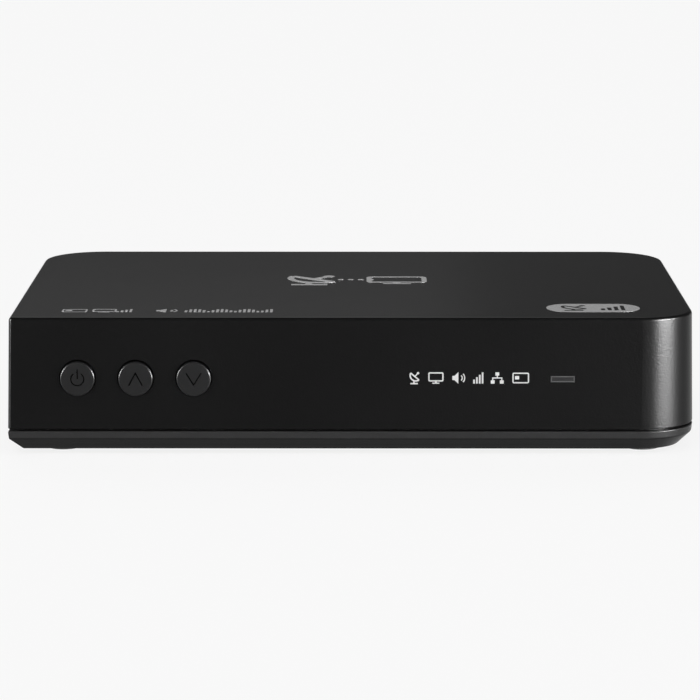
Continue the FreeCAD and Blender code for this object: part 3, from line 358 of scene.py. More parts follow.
for chip_x, chip_y, half in ((-35.0, 31.0, 2.6), (24.0, 14.0, 4.0), (-26.0, 20.0, 3.0)):
    chip_low = Vector((chip_x - half, chip_y - half, board_top))
    chip_high = Vector((chip_x + half, chip_y + half, board_top + small_chip_height))
    add_legs(legs, chip_low, chip_high, left_and_right, pitch=1.0, leg_width=0.38, reach=0.9)
    add_dot(dots, chip_low.x + 0.8, chip_low.y + 0.8, chip_high.z, radius=0.3)
finish_piece("chip_legs", legs, tinned_strip)
finish_piece("chip_dots", dots, white_ink)

# ------------ small parts on the boards
# Resistors and ceramic capacitors the size of a grain of rice, soldered in rows round the chips: a tan body
# between two tinned ends.


def add_block(bm, low, high, rounding=0.0, segments=1):
    """A block between two opposite corners, with its edges rounded off."""
    low, high = Vector(low), Vector(high)
    verts = bmesh.ops.create_cube(bm, size=1)["verts"]
    bmesh.ops.scale(bm, vec=high - low, verts=verts)
    bmesh.ops.translate(bm, vec=(low + high) / 2, verts=verts)
    if rounding:
        edges = list(dict.fromkeys(edge for vert in verts for edge in vert.link_edges))
        bmesh.ops.bevel(
            bm, geom=edges, offset=rounding, segments=segments, profile=0.5, affect="EDGES", material=-1)


def add_small_part(bodies, ends, centre, turned):
    """A small part that lies along X, or along Y where it is turned."""
    length, width, height = 1.6, 0.8, 0.45
    end_length = 0.22 * length
    wider, taller = 1.04, 1.06
    along, across = Vector((1, 0, 0)), Vector((0, 1, 0))
    if turned:
        along, across = across, along
    lift = Vector((0, 0, height))
    body_half = along * (length / 2 - end_length) + across * width / 2
    add_block(bodies, centre - body_half, centre + body_half + lift)
    end_half = (along * end_length + across * width) / 2 * wider
    for side in (-1, 1):
        end_centre = centre + along * side * (length - end_length) / 2
        add_block(ends, end_centre - end_half, end_centre + end_half + lift * taller)


def add_part_rows(bodies, ends, rows, level):
    """Rows of small parts at one level, each with its first place, its step, its count and its turn."""
    for (x, y), (step_x, step_y), count, turned in rows:
        for i in range(count):
            add_small_part(bodies, ends, Vector((x + i * step_x, y + i * step_y, level)), turned)


main_rows = (
    ((-14.0, -30.0), (2.2, 0), 9, True), ((12.0, -30.0), (2.2, 0), 6, True),
    ((-13.5, -20.0), (0, 2.4), 9, False), ((23.5, -14.0), (0, 2.4), 4, False),
    ((-6.0, 5.6), (2.3, 0), 10, True), ((-4.0, 20.5), (2.3, 0), 9, True),
    ((-14.0, 10.0), (0, 2.4), 8, False), ((-34.8, -10.0), (0, 2.4), 6, False),
    ((30.5, 10.0), (0, 2.4), 6, False), ((36.0, -20.0), (2.4, 0), 10, True),
    ((62.0, -8.0), (0, 2.4), 7, False))
tan_ceramic = speckled("tan_ceramic", (0.11, 0.075, 0.05), (0.22, 0.15, 0.09), roughness=0.4, size=0.0009)
bodies, ends = bmesh.new(), bmesh.new()
add_part_rows(bodies, ends, main_rows, board_top)
finish_piece("small_parts", bodies, tan_ceramic)
finish_piece("small_part_ends", ends, tinned_strip)

# ------------ heat sink and pad
# A length of extruded aluminium with fins, sawn off and left bare. It lies on a soft grey pad, which takes
# the main chip's warmth and sticks to both.
sawn_aluminium = plated_metal(
    "sawn_aluminium", (0.56, 0.57, 0.58), (0.72, 0.73, 0.74), roughness=0.42, grain=0.0006,
    stretch=(1, 0.06, 1))
dress(sawn_aluminium, "heat_sink")
soft_pad = speckled(
    "soft_pad", (0.17, 0.19, 0.24), (0.24, 0.26, 0.31), roughness=0.75,
    size=0.0005, height=0.00003, specular=0.2)
dress(soft_pad, "thermal_pad")

# ------------ capacitors
# Aluminium cans rolled in near their foot, in a shrunk dark sleeve with a pale stripe at the negative leg.
# The bare top is scored in three, so that it can open if the can gets too hot.


def add_sector(bm, centre, inner, outer, start, turn, thickness, steps=12):
    """A flat ring sector from one angle on, in degrees, with a thickness."""
    first = Matrix.Rotation(math.radians(start), 3, "Z") @ Vector((1, 0, 0))
    verts = [bm.verts.new(Vector(centre) + first * radius) for radius in (inner, outer)]
    edge = bm.edges.new(verts)
    count_before = len(bm.faces)
    bmesh.ops.spin(
        bm, geom=verts + [edge], cent=centre, axis=(0, 0, 1), angle=math.radians(turn), steps=steps,
        use_merge=turn == 360)
    bm.faces.ensure_lookup_table()
    faces = list(bm.faces)[count_before:]
    if thickness:
        bmesh.ops.solidify(bm, geom=faces, thickness=-thickness)


sleeve_plastic = speckled(
    "sleeve_plastic", (0.010, 0.013, 0.034), (0.018, 0.023, 0.05), roughness=0.3, size=0.002, height=0.00004)
can_aluminium = plated_metal(
    "can_aluminium", (0.62, 0.62, 0.63), (0.76, 0.76, 0.77), roughness=0.3, grain=0.0008)
sleeves, tops, stripes = bmesh.new(), bmesh.new(), bmesh.new()
stripe_step, stripe_foot = 10, 2.6
for x, y, radius, height in (
        (-32.0, -32.0, 4.0, 12.0), (-42.0, -34.0, 4.0, 12.0), (-54.0, -35.0, 5.0, 13.0),
        (40.0, -30.0, 4.0, 11.0), (52.0, -30.0, 4.0, 11.0)):
    foot = (x, y, board_top)
    add_turned(sleeves, [
        (0, 0), (radius - 0.2, 0), (radius, 0.2), (radius, 1.2), (radius - 0.35, 1.6), (radius - 0.35, 1.8),
        (radius, 2.2), (radius, height - 0.5), (radius - 0.15, height - 0.15), (radius - 0.5, height),
        (radius - 0.8, height), (radius - 0.8, height - 0.3), (0, height - 0.3)], foot, (0, 0, 1), steps=36)
    top_level = board_top + height - 0.31
    for start in (4, 124, 244):
        add_sector(tops, (x, y, top_level), 0.25, radius - 0.82, start, turn=112, thickness=0.16)
    for angle in range(150, 211, stripe_step):
        here = Matrix.Rotation(math.radians(angle), 3, "Z") @ Vector((1, 0, 0))
        across = Vector((-here.y, here.x, 0))
        low = Vector(foot) + here * (radius + 0.02) + Vector((0, 0, stripe_foot))
        high = low + Vector((0, 0, height - stripe_foot - 1.0))
        width = 2 * radius * math.tan(math.radians(stripe_step / 2))
        add_strip(stripes, [low, high], across, width, thickness=0.03)
capacitor_sleeves = finish_piece("capacitor_sleeves", sleeves, sleeve_plastic)
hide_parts("capacitors")
finish_piece("capacitor_tops", tops, can_aluminium)
finish_piece("capacitor_stripes", stripes, white_ink)

# ------------ inductors and crystal
# Power inductors pressed from dull ferrite powder, with a round core that shows on top, and the clock
# crystal in a drawn tinned can on its flanged base.
ferrite = speckled(
    "ferrite", (0.04, 0.04, 0.042), (0.08, 0.08, 0.082), roughness=0.6,
    size=0.0004, detail=4.0, height=0.00003, specular=0.3)
dress(ferrite, "inductors")
tin_plate = plated_metal(
    "tin_plate", (0.55, 0.56, 0.55), (0.63, 0.64, 0.63), roughness=0.38, grain=0.002, unevenness=0.0000006)
dress(tin_plate, "crystal", "tuner_frame", "tuner_lid")
cores, bm = bmesh.new(), bmesh.new()
inductor_top = corners("inductors")[1].z
for x, y in ((44.0, -12.0), (54.0, -12.0), (44.0, 0.0)):
    add_turned(cores, [
        (0, -0.1), (2.7, -0.1), (2.7, 0.12), (2.55, 0.22), (1.1, 0.22), (0.9, 0.08), (0, 0.08)],
        (x, y, inductor_top), (0, 0, 1), steps=32)
finish_piece("inductor_cores", cores, ferrite)
crystal_low, crystal_high = corners("crystal")
flange = 0.45
add_block(
    bm, (crystal_low.x - flange, crystal_low.y - flange, board_top),
    (crystal_high.x + flange, crystal_high.y + flange, board_top + 0.4), rounding=0.15, segments=2)
finish_piece("crystal_base", bm, tin_plate)

# ------------ tuner
# The screened tuner: a folded wall of tinned steel, and a pressed lid with a raised panel and springy tabs
# that grip the wall.
lid_low, lid_high = corners("tuner_lid")
side_margin, front_margin, rear_margin = 4, 13, 5
panel_sunk, panel_rise = 0.15, 0.3
bm = bmesh.new()
add_block(
    bm, (lid_low.x + side_margin, lid_low.y + front_margin, lid_high.z - panel_sunk),
    (lid_high.x - side_margin, lid_high.y - rear_margin, lid_high.z + panel_rise), rounding=0.2, segments=3)
tab_count, tab_thickness = 5, 0.15
tab_path = ((-0.4, 0.05), (0.25, 0.15), (0.3, 0.6), (0.2, 3.0), (0.5, 3.6))
tab_pitch = (lid_high.y - lid_low.y) / tab_count
for i in range(tab_count):
    y = lid_low.y + (i + 0.5) * tab_pitch
    for x, out in ((lid_low.x, -1), (lid_high.x, 1)):
        path = [(x + proud * out, y, lid_high.z - down) for proud, down in tab_path]
        add_strip(bm, path, (0, 1, 0), 0.6 * tab_pitch, tab_thickness)
finish_piece("lid_pressing", bm, tin_plate)

# ------------ link between the boards
# A flat ribbon of white film with tinned conductors that show through. Brown latches clamp its ends in two
# milky sockets, which are soldered to the boards.


def centre_of(node):
    """The middle of a CAD node's box, in millimetres."""
    low, high = corners(node)
    return (low + high) / 2


film_white, tin_grey = (0.64, 0.64, 0.62), (0.40, 0.41, 0.42)
ribbon_film = start_material("ribbon_film", film_white, 0.4)
conductors = add_pattern(ribbon_film, "Wave", 0.0032, bands_direction="X")
drive(ribbon_film, "Base Color", spread(ribbon_film, conductors, film_white, tin_grey, 0.5, 0.7))
add_bump(ribbon_film, conductors, 0.00004)
dress(ribbon_film, "link_ribbon")
milky_plastic = moulded_plastic("milky_plastic", (0.56, 0.55, 0.51), (0.64, 0.63, 0.60), roughness=0.42)
dress(milky_plastic, "front_link_socket", "main_link_socket")
brown_plastic = moulded_plastic(
    "brown_plastic", (0.055, 0.034, 0.022), (0.075, 0.047, 0.031), roughness=0.4)
latch_over, latch_near, latch_far = 0.5, 0.5, 1.7
latch_sunk, latch_rise = 0.8, 0.35
y_axis, z_axis = 1, 2
bm = bmesh.new()
for node, across, out in (("main_link_socket", y_axis, z_axis), ("front_link_socket", z_axis, y_axis)):
    middle = centre_of(node)[across]
    for side in (-1, 1):
        low, high = corners(node)
        low.x, high.x = low.x - latch_over, high.x + latch_over
        low[across], high[across] = sorted((middle + side * latch_near, middle + side * latch_far))
        low[out], high[out] = high[out] - latch_sunk, high[out] + latch_rise
        add_block(bm, low, high, rounding=0.15)
finish_piece("link_latches", bm, brown_plastic)

# ------------ front board
# The upright board behind the buttons. Each switch has a riveted steel plate with a hole for its plunger,
# and the lamp and the infrared receiver sit behind the window.
steel_plate = plated_metal(
    "steel_plate", (0.46, 0.46, 0.45), (0.60, 0.60, 0.59), roughness=0.35, grain=0.0009)
switch_low, switch_high = corners("switch_bodies")
switch_half = (switch_high.z - switch_low.z) / 2
plate_half, plate_thickness, hole_radius = switch_half - 0.1, 0.2, 2.05
rivet_from_edge, rivet_head = 0.65, [(0, 0), (0.4, 0), (0.4, 0.3), (0.3, 0.42), (0, 0.42)]
upright = Matrix.Rotation(math.radians(90), 4, "X")
bm = bmesh.new()
for node in ("power_plunger", "up_plunger", "down_plunger"):
    centre = Vector((centre_of(node).x, switch_low.y, centre_of("switch_bodies").z))
    hole, rim = (
        bmesh.ops.create_circle(bm, segments=40, radius=radius)["verts"]
        for radius in (hole_radius, switch_half))
    for vert in rim:
        vert.co *= plate_half / max(abs(vert.co.x), abs(vert.co.y))
    ring_edges = dict.fromkeys(edge for vert in hole + rim for edge in vert.link_edges)
    plate = bmesh.ops.bridge_loops(bm, edges=list(ring_edges))["faces"]
    bmesh.ops.transform(bm, matrix=Matrix.Translation(centre) @ upright, verts=hole + rim)
    bmesh.ops.solidify(bm, geom=plate, thickness=-plate_thickness)
    for side_x in (-1, 1):
        for side_z in (-1, 1):
            rivet = centre + Vector((side_x, 0, side_z)) * (switch_half - rivet_from_edge)
            rivet.y -= plate_thickness / 2
            add_turned(bm, rivet_head, rivet, (0, -1, 0), steps=12)
finish_piece("switch_plates", bm, steel_plate)

bodies, ends = bmesh.new(), bmesh.new()
front_rows = (
    ((-70.0, 26.5), (3.4, 0), 3, True), ((-56.0, 14.2), (3.4, 0), 4, True), ((20.0, 25.0), (3.0, 0), 4, True),
    ((44.0, 25.5), (2.6, 0), 5, True))
add_part_rows(bodies, ends, front_rows, 0)
rear_face = Matrix.Translation((0, corners("front_board")[1].y, 0))
on_rear_face = rear_face @ Matrix.Diagonal((1, -1, 1, 1)) @ upright
for parts in (bodies, ends):
    bmesh.ops.transform(parts, matrix=on_rear_face, verts=parts.verts[:])
finish_piece("front_small_parts", bodies, tan_ceramic)
finish_piece("front_small_part_ends", ends, tinned_strip)

dark_lens = moulded_plastic(
    "dark_lens", (0.014, 0.008, 0.012), (0.020, 0.011, 0.017), roughness=0.14, grain=0.002,
    grain_height=0.000003, specular=0.5)
dress(dark_lens, "infrared_receiver", "optical_emitter")
lamp_lens = moulded_plastic(
    "lamp_lens", (0.42, 0.02, 0.015), (0.50, 0.03, 0.02), roughness=0.12, grain=0.002, grain_height=0.000003,
    specular=0.5)
dress(lamp_lens, "standby_lamp")

# ------------ rear sockets
# Black moulded housings and folded steel hoods, soldered to the main board and flush with the panel. Their
# contacts are strips of gold-plated bronze.
socket_black = moulded_plastic(
    "socket_black", (0.015, 0.015, 0.016), (0.021, 0.021, 0.022), roughness=0.4, grain=0.0006)
dress(
    socket_black, "network_socket", "optical_socket", "optical_shutter", "audio_jack", "power_jack",
    "card_reader", "video_tongue", "data_tongue", "power_plunger", "up_plunger", "down_plunger")
hood_steel = plated_metal(
    "hood_steel", (0.50, 0.50, 0.49), (0.64, 0.64, 0.63), roughness=0.3, grain=0.0007, stretch=(1, 0.15, 1))
dress(hood_steel, "video_shell", "data_shell")
gold_plating = plated_metal(
    "gold_plating", (0.72, 0.50, 0.20), (0.86, 0.64, 0.30), roughness=0.24, grain=0.0006)
dress(gold_plating, "network_contacts", "card_contacts")

mouth_y = corners("network_socket")[1].y
tip_y = mouth_y - 1.2
video_x = centre_of("video_tongue").x
tongue_top, tongue_foot = board_top + 3.9, board_top + 2.9
blade_half, blade_length, blade_thickness, blade_sunk = 0.2, 6.2, 0.09, 0.03
contacts = bmesh.new()
for count, low in ((10, tongue_top - blade_sunk), (9, tongue_foot + blade_sunk - blade_thickness)):
    for i in range(count):
        x = video_x + i - (count - 1) / 2
        add_block(
            contacts, (x - blade_half, tip_y - 0.3 - blade_length, low),
            (x + blade_half, tip_y - 0.3, low + blade_thickness))

data_x = centre_of("data_tongue").x
underside = board_top + 3.0 - 0.02
data_path = ((10.0, 0), (3.0, 0), (1.8, 0.2), (0.6, 0))
for offset in (-3.5, -1.0, 1.0, 3.5):
    path = [(data_x + offset, tip_y - back, underside - down) for back, down in data_path]
    add_strip(contacts, path, (1, 0, 0), width=1.0, thickness=0.1)

pin = centre_of("power_pin")
pin_path = ((9.2, 2.95), (6.0, 2.6), (4.0, 2.2), (2.4, 2.75))
path = [(pin.x, mouth_y - back, pin.z - down) for back, down in pin_path]
add_strip(contacts, path, (1, 0, 0), width=1.6, thickness=0.15)
finish_piece("socket_contacts", contacts, gold_plating)

springs = bmesh.new()
hood_low, hood_high = corners("data_shell")
hood_wall = 0.5
spring_path = ((1.5, 0.05), (3.0, 0.3), (4.6, 0.5), (6.0, 0.2))
for x in (data_x - 3.2, data_x + 3.2):
    for wall_z, inward in ((hood_high.z - hood_wall, -1), (hood_low.z + hood_wall, 1)):
        path = [(x, mouth_y - back, wall_z + lift * inward) for back, lift in spring_path]
        add_strip(springs, path, (1, 0, 0), width=1.8, thickness=0.12)
finish_piece("data_springs", springs, hood_steel)

network_x = centre_of("network_socket").x
lamp_from_middle, lamp_half_width, lamp_low, lamp_height = 5.8, 1.2, board_top + 0.8, 1.5
for name, side, dark, light in (
        ("network_lamp_green", -1, (0.08, 0.22, 0.07), (0.12, 0.30, 0.10)),
        ("network_lamp_amber", 1, (0.34, 0.19, 0.03), (0.44, 0.26, 0.05))):
    bm = bmesh.new()
    x = network_x + side * lamp_from_middle
    add_block(
        bm, (x - lamp_half_width, mouth_y - 0.3, lamp_low),
        (x + lamp_half_width, mouth_y + 0.15, lamp_low + lamp_height), rounding=0.12, segments=2)
    lens = moulded_plastic(
        name, dark, light, roughness=0.2, grain=0.0009, grain_height=0.000004, specular=0.5)
    finish_piece(name, bm, lens)

audio_x, audio_z = centre_of("audio_jack").x, board_top + 3.2
bm = bmesh.new()
add_turned(bm, [
    (1.82, -1.2), (2.2, -1.2), (2.5, -0.1), (2.5, 0.06), (2.35, 0.16), (1.95, 0.16), (1.82, 0.02)],
    (audio_x, mouth_y, audio_z), (0, 1, 0), closed=True)
nickel_plating = plated_metal(
    "nickel_plating", (0.50, 0.48, 0.44), (0.66, 0.64, 0.59), roughness=0.22, grain=0.0008)
dress(nickel_plating, "power_pin")
finish_piece("audio_collar", bm, nickel_plating)

# ------------ optical shutter
# The moulded flap that closes the optical socket hangs from a sprung pin. A plug pushes on the raised pad
# in its middle and swings it inwards.
flap_low, flap_high = corners("optical_shutter")
pin_from_mouth, flap_thickness = 1.3, 0.7
flap_face = mouth_y - pin_from_mouth + flap_thickness / 2
side_margin, foot_margin, top_margin = 2.2, 1.2, 2.6
bm = bmesh.new()
add_block(
    bm, (flap_low.x + side_margin, flap_face - 0.15, flap_low.z + foot_margin),
    (flap_high.x - side_margin, flap_face + 0.28, flap_high.z - top_margin), rounding=0.2, segments=2)
finish_piece("shutter_pad", bm, socket_black, body="shutter")

# ------------ aerial stud
# A turned brass stud with a rolled thread, nickel-plated, its white insulator, and the nut that clamps it to
# the panel. The nut's corners are turned off at 30 degrees.
stud_low, stud_high = corners("lnb_stud")
nut_low, nut_high = corners("lnb_nut")
stud = centre_of("lnb_stud")
crest_radius = (stud_high.x - stud_low.x) / 2
core_radius = crest_radius - 0.42
root_radius = 4.5
bore_radius = 3.3
thread_pitch = 0.794
end_y = stud_high.y
bm = bmesh.new()
add_turned(bm, [
    (bore_radius, stud_low.y), (root_radius, stud_low.y), (root_radius, nut_high.y),
    (core_radius, nut_high.y), (core_radius, end_y - 0.15), (core_radius - 0.2, end_y),
    (bore_radius + 0.2, end_y), (bore_radius, end_y - 0.2)],
    (stud.x, 0, stud.z), (0, 1, 0), steps=64, closed=True)
steps_per_turn = 48
thread_start, thread_end = nut_high.y + 0.05, end_y - 0.35
thread_turns = int((thread_end - thread_start) / thread_pitch - 0.9)
ridge_foot = core_radius - 0.05
ridge_profile = ((ridge_foot, 0.0), (crest_radius, 0.42), (crest_radius, 0.54), (ridge_foot, 0.96))
ridge = [
    bm.verts.new((stud.x + radius, thread_start + share * thread_pitch, stud.z))
    for radius, share in ridge_profile]
ridge_edges = [bm.edges.new((ridge[i - 1], ridge[i])) for i in range(4)]
wound = bmesh.ops.spin(
    bm, geom=ridge + ridge_edges, cent=(stud.x, 0, stud.z), axis=(0, 1, 0),
    dvec=(0, thread_pitch / steps_per_turn, 0), angle=2 * math.pi * thread_turns,
    steps=steps_per_turn * thread_turns)["geom_last"]
bm.faces.new(ridge)
bm.faces.new([item for item in wound if isinstance(item, bmesh.types.BMVert)])
threaded_stud = finish_piece("threaded_stud", bm, nickel_plating)
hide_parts("lnb_stud")

nut_thickness = nut_high.y - nut_low.y
half_flats = (nut_high.z - nut_low.z) / 2
turned_radius = half_flats + 0.15
blank_radius = 2 * half_flats
nut_bore, bore_chamfer = 4.55, 0.2
bm = bmesh.new()
add_turned(bm, [
    (nut_bore, bore_chamfer), (nut_bore + bore_chamfer, 0), (turned_radius, 0), (blank_radius, 0.1),
    (blank_radius, nut_thickness - 0.1), (turned_radius, nut_thickness),
    (nut_bore + bore_chamfer, nut_thickness), (nut_bore, nut_thickness - bore_chamfer)],
    (0, 0, 0), (0, 1, 0), steps=72, closed=True)
for vert in bm.verts:
    radius = math.hypot(vert.co.x, vert.co.z)
    from_flat = math.pi / 6 - math.atan2(vert.co.z, vert.co.x) % (math.pi / 3)
    reach = half_flats / math.cos(from_flat)
    if radius > reach:
        vert.co.x *= reach / radius
        vert.co.z *= reach / radius
    if radius > 1.5 * half_flats:
        turned_off = max(0.0, reach - turned_radius) * math.tan(math.radians(30))
        vert.co.y = turned_off if vert.co.y < nut_thickness / 2 else nut_thickness - turned_off
bmesh.ops.translate(bm, vec=(stud.x, nut_low.y, stud.z), verts=bm.verts[:])
turned_nut = finish_piece("turned_nut", bm, nickel_plating, crisp_over=20)
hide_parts("lnb_nut")
dress(milky_plastic, "lnb_insulator")

# ------------ rear panel
# A moulded black plate with a row of vents, caught between the cover and the tray by its flange. Small
# signs are printed on it in white ink beside the sockets.


def next_level(bm):
    """A hair above the last stroke, so that the faces of crossing strokes stay apart."""
    return 0.0002 * (len(bm.faces) % 11)


def draw_bar(bm, start, end, width):
    """A straight stroke in the flat, between two points."""
    level = next_level(bm)
    start, end = Vector((*start, level)), Vector((*end, level))
    run = end - start
    turn = Matrix.Rotation(math.atan2(run.y, run.x), 4, "Z")
    stretch = Matrix.Diagonal((run.length, width, 1, 1))
    verts = bmesh.ops.create_grid(bm, x_segments=1, y_segments=1, size=0.5)["verts"]
    bmesh.ops.transform(bm, matrix=Matrix.Translation((start + end) / 2) @ turn @ stretch, verts=verts)


def draw_arc(bm, centre, radius, width, start=0, turn=360):
    """A stroke along an arc, from one angle on, in degrees."""
    half, steps = width / 2, max(6, int(turn / 9))
    add_sector(bm, (*centre, next_level(bm)), radius - half, radius + half, start, turn, 0, steps)


def draw_dot(bm, centre, radius):
    """A filled disc."""
    place = Matrix.Translation((*centre, next_level(bm)))
    bmesh.ops.create_circle(bm, cap_ends=True, segments=24, radius=radius, matrix=place)


def draw_panel(bm, centre, width, height, corner=0.0):
    """A filled oblong with rounded corners. Gives back its face."""
    place = Matrix.Translation((*centre, next_level(bm))) @ Matrix.Diagonal((width, height, 1, 1))
    verts = bmesh.ops.create_grid(bm, x_segments=1, y_segments=1, size=0.5, matrix=place)["verts"]
    if corner:
        verts = bmesh.ops.bevel(
            bm, geom=verts, offset=corner, segments=6, profile=0.5, affect="VERTICES", material=-1)["verts"]
    return verts[0].link_faces[0]


def draw_frame(bm, centre, width, height, stroke, corner=0.0):
    """An oblong outline with rounded corners."""
    middle = draw_panel(bm, centre, width, height, corner)
    bmesh.ops.inset_region(bm, faces=[middle], thickness=stroke, use_boundary=True, use_even_offset=True)
    bmesh.ops.delete(bm, geom=[middle], context="FACES_ONLY")


def dish(bm):
    """A bowl aerial on its stand, with its feed on an arm."""
    draw_arc(bm, (0.10, 0.20), 0.44, 0.11, 155, 150)
    draw_bar(bm, (-0.30, 0.39), (0.35, -0.16), 0.11)
    draw_bar(bm, (0.03, 0.11), (0.22, 0.32), 0.09)
    draw_dot(bm, (0.28, 0.38), 0.095)
    draw_bar(bm, (-0.04, -0.18), (-0.04, -0.44), 0.11)
    draw_bar(bm, (-0.32, -0.45), (0.26, -0.45), 0.11)


def screen(bm):
    """A flat screen on its foot."""
    draw_frame(bm, (0, 0.09), 1.3, 0.8, 0.11, 0.14)
    draw_bar(bm, (0, -0.30), (0, -0.42), 0.16)
    draw_bar(bm, (-0.3, -0.45), (0.3, -0.45), 0.1)


def speaker(bm):
    """A loudspeaker with two waves of sound."""
    draw_panel(bm, (-0.42, 0), 0.2, 0.34)
    cone = draw_panel(bm, (-0.19, 0), 0.32, 0.34)
    for vert in cone.verts:
        if vert.co.x > -0.19:
            vert.co.y *= 2.8
    for radius in (0.30, 0.50):
        draw_arc(bm, (-0.02, 0), radius, 0.09, -42, 84)


def levels(bm, heights=(0.35, 0.57, 0.78, 1.0)):
    """Upright bars of several heights on one line."""
    for i, height in enumerate(heights):
        x = 0.25 * (i - (len(heights) - 1) / 2)
        draw_bar(bm, (x, -0.5), (x, height - 0.5), 0.15)


def card(bm):
    """A card with its chip."""
    draw_frame(bm, (0, 0), 1.35, 0.88, 0.1, 0.14)
    draw_panel(bm, (-0.30, 0.02), 0.34, 0.28, 0.05)


def network(bm):
    """Three boxes joined by lines."""
    for centre in ((0, 0.34), (-0.38, -0.34), (0.38, -0.34)):
        draw_panel(bm, centre, 0.32, 0.28, 0.03)
    draw_bar(bm, (0, 0.3), (0, 0), 0.09)
    draw_bar(bm, (-0.425, 0), (0.425, 0), 0.09)
    for x in (-0.38, 0.38):
        draw_bar(bm, (x, 0), (x, -0.3), 0.09)


def memory_stick(bm):
    """A storage stick with its plug."""
    draw_panel(bm, (-0.14, 0), 0.8, 0.46, 0.1)
    draw_frame(bm, (0.42, 0), 0.36, 0.34, 0.07)


def point_of_light(bm):
    """A point of light with rays."""
    draw_dot(bm, (0, 0), 0.2)
    for i in range(8):
        ray = Vector((math.cos(math.pi * i / 4), math.sin(math.pi * i / 4)))
        draw_bar(bm, ray * 0.31, ray * 0.5, 0.09)


def headphones(bm):
    """A pair of headphones."""
    draw_arc(bm, (0, -0.05), 0.4, 0.1, 0, 180)
    for x in (-0.38, 0.38):
        draw_panel(bm, (x, -0.22), 0.18, 0.4, 0.06)


def polarity(bm):
    """The usual sign for a plug with a positive middle: a dot in an open ring, between minus and plus."""
    draw_dot(bm, (0, 0), 0.16)
    draw_arc(bm, (0, 0), 0.42, 0.1, 40, 280)
    for side in (-1, 1):
        draw_bar(bm, (side * 0.42, 0), (side * 0.9, 0), 0.1)
        draw_arc(bm, (side * 1.2, 0), 0.3, 0.08)
        draw_bar(bm, (side * 1.2 - 0.16, 0), (side * 1.2 + 0.16, 0), 0.08)
    draw_bar(bm, (1.2, -0.16), (1.2, 0.16), 0.08)


def add_sign(bm, draw, x, y, size, *details):
    """Draws one sign at its place and size."""
    drawn_before = set(bm.verts)
    draw(bm, *details)
    drawn_now = [vert for vert in bm.verts if vert not in drawn_before]
    place = Matrix.Translation((x, y, 0)) @ Matrix.Scale(size, 4)
    bmesh.ops.transform(bm, matrix=place, verts=drawn_now)


def print_on(name, bm, place, material, ink_thickness=0.025, body="receiver"):
    """Turns flat drawings into ink that is keyed into a surface and stands a little above it."""
    keyed_in = 0.05
    bmesh.ops.translate(bm, vec=(0, 0, -keyed_in), verts=bm.verts[:])
    raised = bmesh.ops.extrude_face_region(bm, geom=bm.faces[:])["geom"]
    raised_verts = [item for item in raised if isinstance(item, bmesh.types.BMVert)]
    bmesh.ops.translate(bm, vec=(0, 0, keyed_in + ink_thickness), verts=raised_verts)
    bmesh.ops.transform(bm, matrix=place, verts=bm.verts[:])
    finish_piece(name, bm, material, body)


panel_plastic = moulded_plastic(
    "panel_plastic", (0.0075, 0.0075, 0.0078), (0.0100, 0.0100, 0.0103), roughness=0.4, grain=0.0003,
    grain_height=0.00002, specular=0.2)
dress(panel_plastic, "rear_panel")
signs = bmesh.new()
optical_x = centre_of("optical_shutter").x
for draw, x, z, size in (
        (dish, stud.x + 10.6, 17.0, 3.4), (network, network_x + 12.5, 17.0, 3.2),
        (screen, video_x, 20.6, 3.2), (point_of_light, optical_x, 23.1, 2.8),
        (headphones, audio_x, 20.0, 3.0), (memory_stick, data_x, 19.6, 3.4), (polarity, pin.x, 23.7, 1.5)):
    add_sign(signs, draw, -x, z, size)
panel_face = Matrix.Translation((0, corners("rear_panel")[1].y, 0))
on_panel = panel_face @ Matrix.Rotation(math.pi, 4, "Z") @ upright
print_on("socket_signs", signs, on_panel, white_ink)

# ------------ top cover
# The moulded shell: roof and four walls in black, with the same spark-eroded grain as the tray, which takes
# the gloss off it. Signs in silver ink are printed on the roof and in white ink on the front wall.
cover_plastic = moulded_plastic(
    "cover_plastic", (0.0036, 0.0036, 0.0037), (0.0044, 0.0044, 0.0045), roughness=0.29, grain=0.0005,
    grain_height=0.00003, specular=0.06)
dress(cover_plastic, "top_cover")

cover_low, cover_high = corners("top_cover")
front_y = cover_low.y
cover_foot, wall_draft = 6.8, 0.6
wall_lean = math.atan2(wall_draft, cover_high.z - cover_foot)
on_front = (
    Matrix.Translation((0, front_y - cover_foot * math.tan(wall_lean), 0))
    @ Matrix.Rotation(math.radians(90) - wall_lean, 4, "X"))
front_row_z = 19.5
signs = bmesh.new()
for draw, x, size in (
        (dish, 15.0, 3.1), (screen, 20.2, 2.85), (speaker, 25.75, 3.0), (levels, 30.5, 2.75),
        (network, 35.1, 2.9), (card, 40.8, 3.0)):
    add_sign(signs, draw, x, front_row_z, size)
print_on("front_signs", signs, on_front, white_ink)

silver_ink = speckled(
    "silver_ink", (0.27, 0.27, 0.27), (0.38, 0.38, 0.38), roughness=0.45,
    size=0.0004, detail=3.0, specular=0.4)
corner_row_y, badge_y, middle_row_y = front_y + 10.6, front_y + 14.8, front_y + 57.5
sound_heights = [0.3 + 0.7 * abs(math.sin(0.55 * i + 0.4)) for i in range(20)]
signs = bmesh.new()
for draw, x, size, details in (
        (card, -68.2, 4.6, ()), (screen, -60.9, 4.6, ()), (levels, -56.0, 4.2, ()),
        (speaker, -45.6, 5.0, ()), (levels, -30.4, 4.4, (sound_heights,))):
    add_sign(signs, draw, x, corner_row_y, size, *details)
add_sign(signs, dish, -10.8, middle_row_y, 16.0)
for i in range(4):
    draw_dot(signs, (-3.2 + 2.6 * i, middle_row_y + 1.0), 0.8)
add_sign(signs, screen, 11.3, middle_row_y, 12.0)
on_roof = Matrix.Translation((0, 0, cover_high.z))
print_on("roof_signs", signs, on_roof, silver_ink)
badge = bmesh.new()
draw_panel(badge, (59.2, badge_y), 23.0, 12.0, 5.6)
print_on("roof_badge", badge, on_roof, silver_ink)
badge_signs = bmesh.new()
